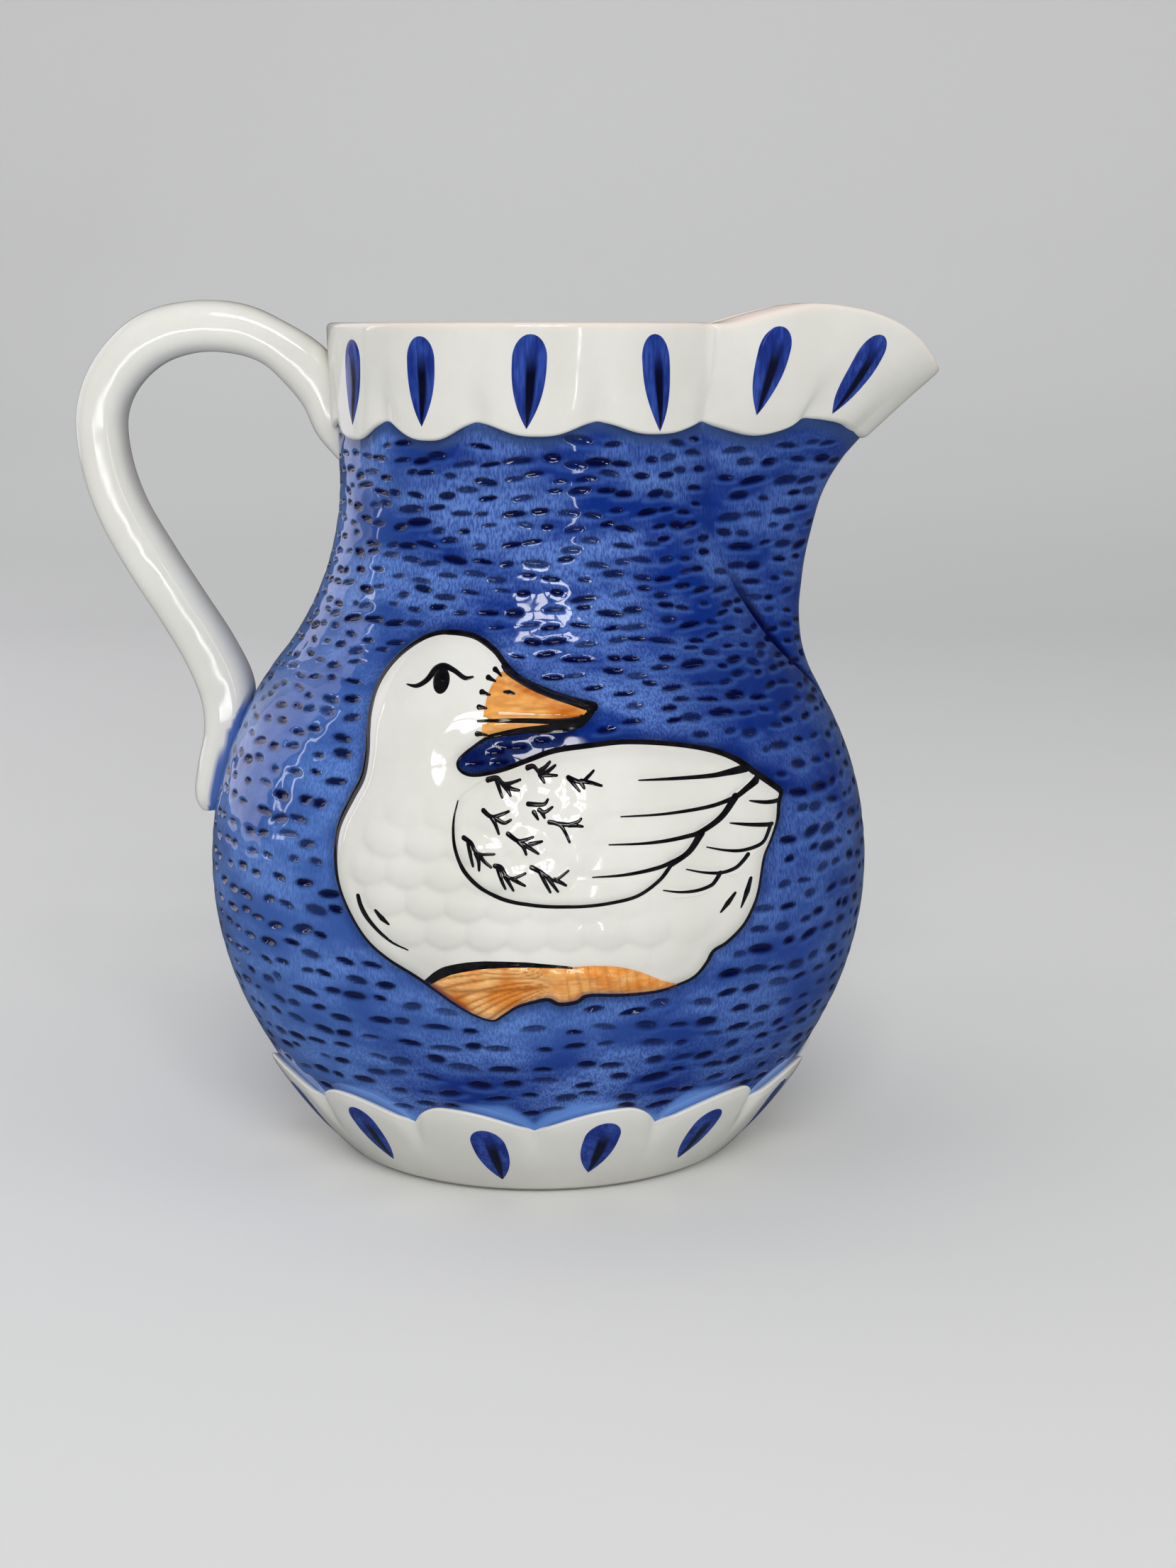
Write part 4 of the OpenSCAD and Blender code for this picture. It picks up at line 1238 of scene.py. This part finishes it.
def duck_lines(tree):
    """The black brush lines of the duck and its outline, which swells and thins, laid on the relief."""
    bm = bmesh.new()
    jobs = [brush_line(points, widths) for points, widths in STROKES]
    loop = np.vstack([duck_outline, duck_outline[:2]])
    run = np.arange(len(loop)) / len(loop)
    width = 1.0 + 0.22 * np.sin(run * 23) + 0.18 * np.sin(run * 51 + 1)
    way = np.gradient(loop, axis=0)
    way /= np.linalg.norm(way, axis=1, keepdims=True) + 1e-9
    jobs.append((loop, np.stack([-way[:, 1], way[:, 0]], 1) * width[:, None] / 2))
    for line, side in jobs:
        flat = line[:, None] + LINE_SHARES[:, None] * side[:, None]
        grid = np.insert(flat, 1, -RAY_FROM, axis=2)
        sheet(bm, drape(tree, grid, to_back, np.broadcast_to(LINE_PROUD, grid.shape[:2])), to_back)
    r, proud = np.array(PUPIL_RINGS).T[..., None]
    a = np.linspace(0, 2 * PI, 33)
    x = PUPIL[0] + PUPIL_HALF[0] * r * np.cos(a) + PUPIL_LEAN * r * np.sin(a)
    z = PUPIL[1] + PUPIL_HALF[1] * r * np.sin(a)
    pupil = np.stack([x, np.full(x.shape, -RAY_FROM), z], -1)
    sheet(bm, drape(tree, pupil, to_back, proud + 0 * x), to_back)
    return bm


def drop_patch(bm, uv, tree, top, tip, width):
    """A teardrop brush mark from a round top to a pointed tip, both as angle from the spout and height."""
    rows, columns = 33, 9
    w = np.linspace(0, 1, rows) ** 1.4
    across = np.linspace(-1, 1, columns)
    head = np.clip(w / 0.26, 0, 1)
    girth = np.sqrt(head * (2 - head)) * (1 - np.clip((w - 0.3) / 0.7, 0, 1) ** 2.3)
    turn = top[0] + (tip[0] - top[0]) * w
    z = top[1] + (tip[1] - top[1]) * w
    centre = skin(turn, z)
    beside = skin(turn + 0.004, z) - centre
    beside /= np.linalg.norm(beside, axis=1, keepdims=True)
    grid = centre[:, None] + beside[:, None] * (across * width / 2 * girth[:, None])[..., None]
    proud = 0.03 + 0.12 * (1 - np.abs(across) ** 3) * np.minimum(1, girth * 1.5)[:, None]
    sheet(bm, drape(tree, grid, to_axis, proud), to_axis, uv)


def drops(name, tree, marks):
    """Brush drops on a band, each with its own map across and down."""
    bm = bmesh.new()
    layers = bm.verts.layers.float.new("u"), bm.verts.layers.float.new("v")
    for top, tip, width in marks:
        drop_patch(bm, layers, tree, top, tip, width)
    uv = bm.loops.layers.uv.new("stroke")
    for f in bm.faces:
        for loop in f.loops:
            loop[uv].uv = loop.vert[layers[0]], loop.vert[layers[1]]
    finish(bm, name, blue_drop)


def lip_place(x, z, side):
    """Angle from the spout's middle of a place on its side, from its distance along and its height."""
    v = np.linspace(0, 1, 400)
    root, reach, _ = lip_plan(np.array(z))
    return side * float(lip_turn(np.interp(-x, -lip_forward(root, reach, v), v), np.array(z)))


# Pieces of the body

front_parts = []
for face, side, seed in (("front", -1, 7), ("back", 1, 19)):
    for node, upper in (("belly", False), ("neck", True)):
        wall = side_wall(side, seed, upper)
        if face == "front":
            front_parts.append(wall.copy())
        finish(wall, f"{face}_{node}", blue_wash, (node,))
finish(inside_wall(), "inside_wall", white_glaze, ("belly", "neck"))
finish(spout_wall(), "spout_wall", blue_wash, ("spout",))
lip_side = float(crease_turn(np.array(200.0)))
round_neck = np.linspace(lip_side, 2 * PI - lip_side, 301)
round_lip = lip_turn(np.linspace(-1, 1, 141), 200.0)
band_trees = []
for bm, name, node in ((collar_band(round_neck), "collar", "collar"),
                       (collar_band(round_lip), "spout_frill", "spout_collar"),
                       (base_band(), "base_frill", "base_band")):
    band_trees.append(BVHTree.FromBMesh(bm))
    finish(bm, name, white_glaze, (node,))
finish(foot_ring(), "foot_ring", bare_clay, ("foot",))
strap = finish(handle_strap(), "handle_strap", white_glaze, ("handle",))

# The duck on the front, and its mirror image on the back

duck_parts = [
    ("body", relief(duck_outline, body_rise), white_glaze, "white_glaze", ("body", "head")),
    ("wing", relief(wing_outline, wing_rise), white_glaze, "white_glaze", ("wing",)),
    ("tail", relief(tail_outline, tail_rise), white_glaze, "white_glaze", ("tail",)),
    ("bill", relief(bill_outline, bill_rise, bill_streak), bill_orange, "orange_glaze", ("bill",)),
    ("foot", relief(foot_outline, foot_rise, foot_streak_and_toe_shadow, pitch=0.4), foot_orange, "orange_glaze", ("foot",)),
]
whole = bmesh.new()
for part in front_parts + [entry[1] for entry in duck_parts]:
    mesh = bpy.data.meshes.new("rest")
    part.to_mesh(mesh)
    whole.from_mesh(mesh)
    bpy.data.meshes.remove(mesh)
front_tree = BVHTree.FromBMesh(whole)
whole.free()
duck_parts.append(("lines", duck_lines(front_tree), black_line, "blue_glaze", ()))
for part, bm, material, slot, nodes in duck_parts:
    for face, made in (("front", bm), ("back", mirrored(bm))):
        finish(made, f"{face}_duck_{part}", material, [f"{face}_duck_{n}" for n in nodes])

# Painted drops round the bands

# Top and tip of each drop on one half of the collar: angle from the spout and height, then its width
COLLAR_DROPS = [((57.4, 207.3), (55.2, 184.7), 7.6), ((90.5, 207.3), (91.7, 185.6), 7.9),
                ((120.2, 206.8), (120.2, 185.9), 7.5), ((146.5, 206.0), (147.6, 185.6), 7.4)]
# The same on one side of the spout, as distance from the axis and height
SPOUT_DROPS = [((56.7, 209.1), (51.3, 187.9), 8.2), ((81.5, 207.1), (70.7, 187.9), 7.8)]
# The four drops of the foot nearest the front by their lobes: angle from the front and height of top and tip
BASE_DROPS = {12: ((-39.0, 22.4), (-38.0, 6.0)), 13: ((-10.2, 21.1), (-8.3, 4.4)),
              0: ((14.3, 23.0), (12.7, 6.6)), 1: ((39.0, 21.8), (36.9, 6.7))}

collar_marks, spout_marks, base_marks = [], [], []
for side in (-1, 1):
    for a, b, width in COLLAR_DROPS:
        collar_marks.append(((side * math.radians(a[0]), a[1]), (side * math.radians(b[0]), b[1]), width))
    for a, b, width in SPOUT_DROPS:
        spout_marks.append(((lip_place(*a, side), a[1]), (lip_place(*b, side), b[1]), width))
draw = random.Random(5)
for lobe in range(BASE_LOBES):
    middle = (lobe + 0.5) * 360 / BASE_LOBES
    lean = draw.uniform(-1.2, 1.2)
    a, b = (middle - lean, 22 + draw.uniform(-0.7, 0.7)), (middle + lean, 5.5 + draw.uniform(-1, 1))
    a, b = BASE_DROPS.get(lobe, (a, b))
    width = 8.2 + draw.uniform(-0.4, 0.4)
    base_marks.append(((math.radians(a[0] - 90), a[1]), (math.radians(b[0] - 90), b[1]), width))
for name, tree, marks in zip(("collar_drops", "spout_drops", "base_drops"), band_trees,
                             (collar_marks, spout_marks, base_marks)):
    drops(name, tree, marks)

# Floor, light and camera, in metres

# The floor from the front to the top of the backdrop, half its width, and how far it lies under the foot
FLOOR_PATH = [(-3.5, 0), (1.1, 0), (1.35, 0.03), (1.55, 0.12), (1.68, 0.28), (1.74, 0.5), (1.76, 3.2)]
FLOOR_HALF, FLOOR_GAP = 4, 0.0001
# Colour of the floor as it is seen, and as the glaze mirrors it
FLOOR_TONE, FLOOR_MIRRORED = (0.74, 0.74, 0.73), (0.10, 0.12, 0.12)
# First pane of the window, and the steps to the next column and to the next row
PANE, PANE_ACROSS, PANE_UP = (-0.2, -1.72, 1.36), 0.32, (0.16, 0.30)
# Strength of the surrounding light, as the glaze mirrors it, and what the camera sees more of it
ROOM, ROOM_MIRRORED, ROOM_SEEN = 0.34, 0.035, 0.26
# The camera fitted to the photo: focal length and photo height in its pixels, sensor in mm, tilt in degrees
FOCAL, PHOTO_HEIGHT, SENSOR, TILT = 3400, 2212, 36, 10.67


def stage_sheet():
    """A pale floor that turns up into a backdrop."""
    bm = bmesh.new()
    line = [bm.verts.new((-FLOOR_HALF, y, z - FLOOR_GAP)) for y, z in FLOOR_PATH]
    edges = [bm.edges.new(pair) for pair in zip(line, line[1:])]
    made = bmesh.ops.extrude_edge_only(bm, edges=edges)["geom"]
    far = [v for v in made if isinstance(v, bmesh.types.BMVert)]
    bmesh.ops.translate(bm, vec=(2 * FLOOR_HALF, 0, 0), verts=far)
    bmesh.ops.recalc_face_normals(bm, faces=bm.faces[:])
    for f in bm.faces:
        f.smooth = True
    mesh = bpy.data.meshes.new("backdrop")
    bm.to_mesh(mesh)
    bm.free()
    made = bpy.data.materials.new("pale backdrop")
    made.use_nodes = True
    tree = made.node_tree
    shader = tree.nodes["Principled BSDF"]
    mirrored_in = put(tree, "ShaderNodeLightPath").outputs["Is Glossy Ray"]
    join(tree, mixed(tree, mirrored_in, FLOOR_TONE, FLOOR_MIRRORED), shader.inputs["Base Color"])
    shader.inputs["Roughness"].default_value = 0.8
    shader.inputs["Specular IOR Level"].default_value = 0.2
    mesh.materials.append(made)
    floor = bpy.data.objects.new("backdrop", mesh)
    bpy.context.collection.objects.link(floor)


stage_sheet()


def soft_light(name, place, aim, size, power, colour=(1, 1, 1), shine=True, only=None):
    """A lamp of a width and a height, mirrored in the glaze or not, for all pieces or for only one."""
    lamp = bpy.data.lights.new(name, "AREA")
    lamp.shape = "RECTANGLE"
    lamp.size, lamp.size_y = size
    lamp.energy = power
    lamp.color = colour
    holder = bpy.data.objects.new(name, lamp)
    holder.location = place
    holder.rotation_euler = (Vector(aim) - Vector(place)).to_track_quat("-Z", "Y").to_euler()
    holder.visible_glossy = shine
    if only:
        lit = bpy.data.collections.new(name)
        lit.objects.link(only)
        holder.light_linking.receiver_collection = lit
    bpy.context.collection.objects.link(holder)


for col in range(3):
    for row in range(2):
        place = (PANE[0] + PANE_ACROSS * col, PANE[1] + PANE_UP[0] * row, PANE[2] + PANE_UP[1] * row)
        soft_light("window_pane", place, (0, 0, 0.12), (0.25, 0.24), 2.5, (1.0, 0.99, 0.97))
soft_light("left_window", (-1.75, 0.3, 0.7), (0, 0, 0.12), (0.07, 1.1), 1.3, (0.95, 0.95, 1.0))
soft_light("left_card", (-1.05, 0.75, 0.5), (0, 0, 0.12), (0.9, 1.1), 3.6, (0.90, 0.86, 1.0))
soft_light("right_window", (0.62, -1.45, 0.34), (0, 0, 0.15), (0.05, 0.55), 0.8)
soft_light("low_window", (-0.25, -1.5, 0.09), (-0.09, 0, 0.14), (0.62, 0.06), 1.2, only=strap)
soft_light("front_fill", (0.3, -2.4, 0.75), (0, 0, 0.08), (1.8, 0.9), 11, shine=False)
soft_light("overhead", (-0.3, -0.3, 2.1), (0, 0, 0.1), (2.2, 2.2), 7.5, (1.0, 0.99, 0.97), shine=False)
soft_light("left_fill", (-1.9, -1.0, 0.9), (0, 0, 0.1), (1.2, 1.0), 6.6, shine=False)
soft_light("right_fill", (2.0, -0.8, 0.9), (0, 0, 0.1), (1.2, 1.0), 8, shine=False)

world = bpy.data.worlds.new("studio")
world.use_nodes = True
sky = world.node_tree
rays = put(sky, "ShaderNodeLightPath").outputs
sky.nodes["Background"].inputs["Color"].default_value = (0.94, 0.97, 1.0, 1)
strength = ramped(sky, rays["Is Glossy Ray"], 0.0, 1.0, ROOM, ROOM_MIRRORED)
strength = reckon(sky, "ADD", strength, reckon(sky, "MULTIPLY", rays["Is Camera Ray"], ROOM_SEEN))
join(sky, strength, sky.nodes["Background"].inputs["Strength"])
bpy.context.scene.world = world
bpy.context.scene.view_settings.view_transform = "Standard"

lens = bpy.data.cameras.new("camera")
lens.sensor_width = SENSOR
lens.lens = FOCAL / PHOTO_HEIGHT * SENSOR
camera = bpy.data.objects.new("camera", lens)
camera.location = (0.01274, -0.61586, 0.20821)
camera.rotation_euler = (math.radians(90 - TILT), 0, 0)
bpy.context.collection.objects.link(camera)
bpy.context.scene.camera = camera
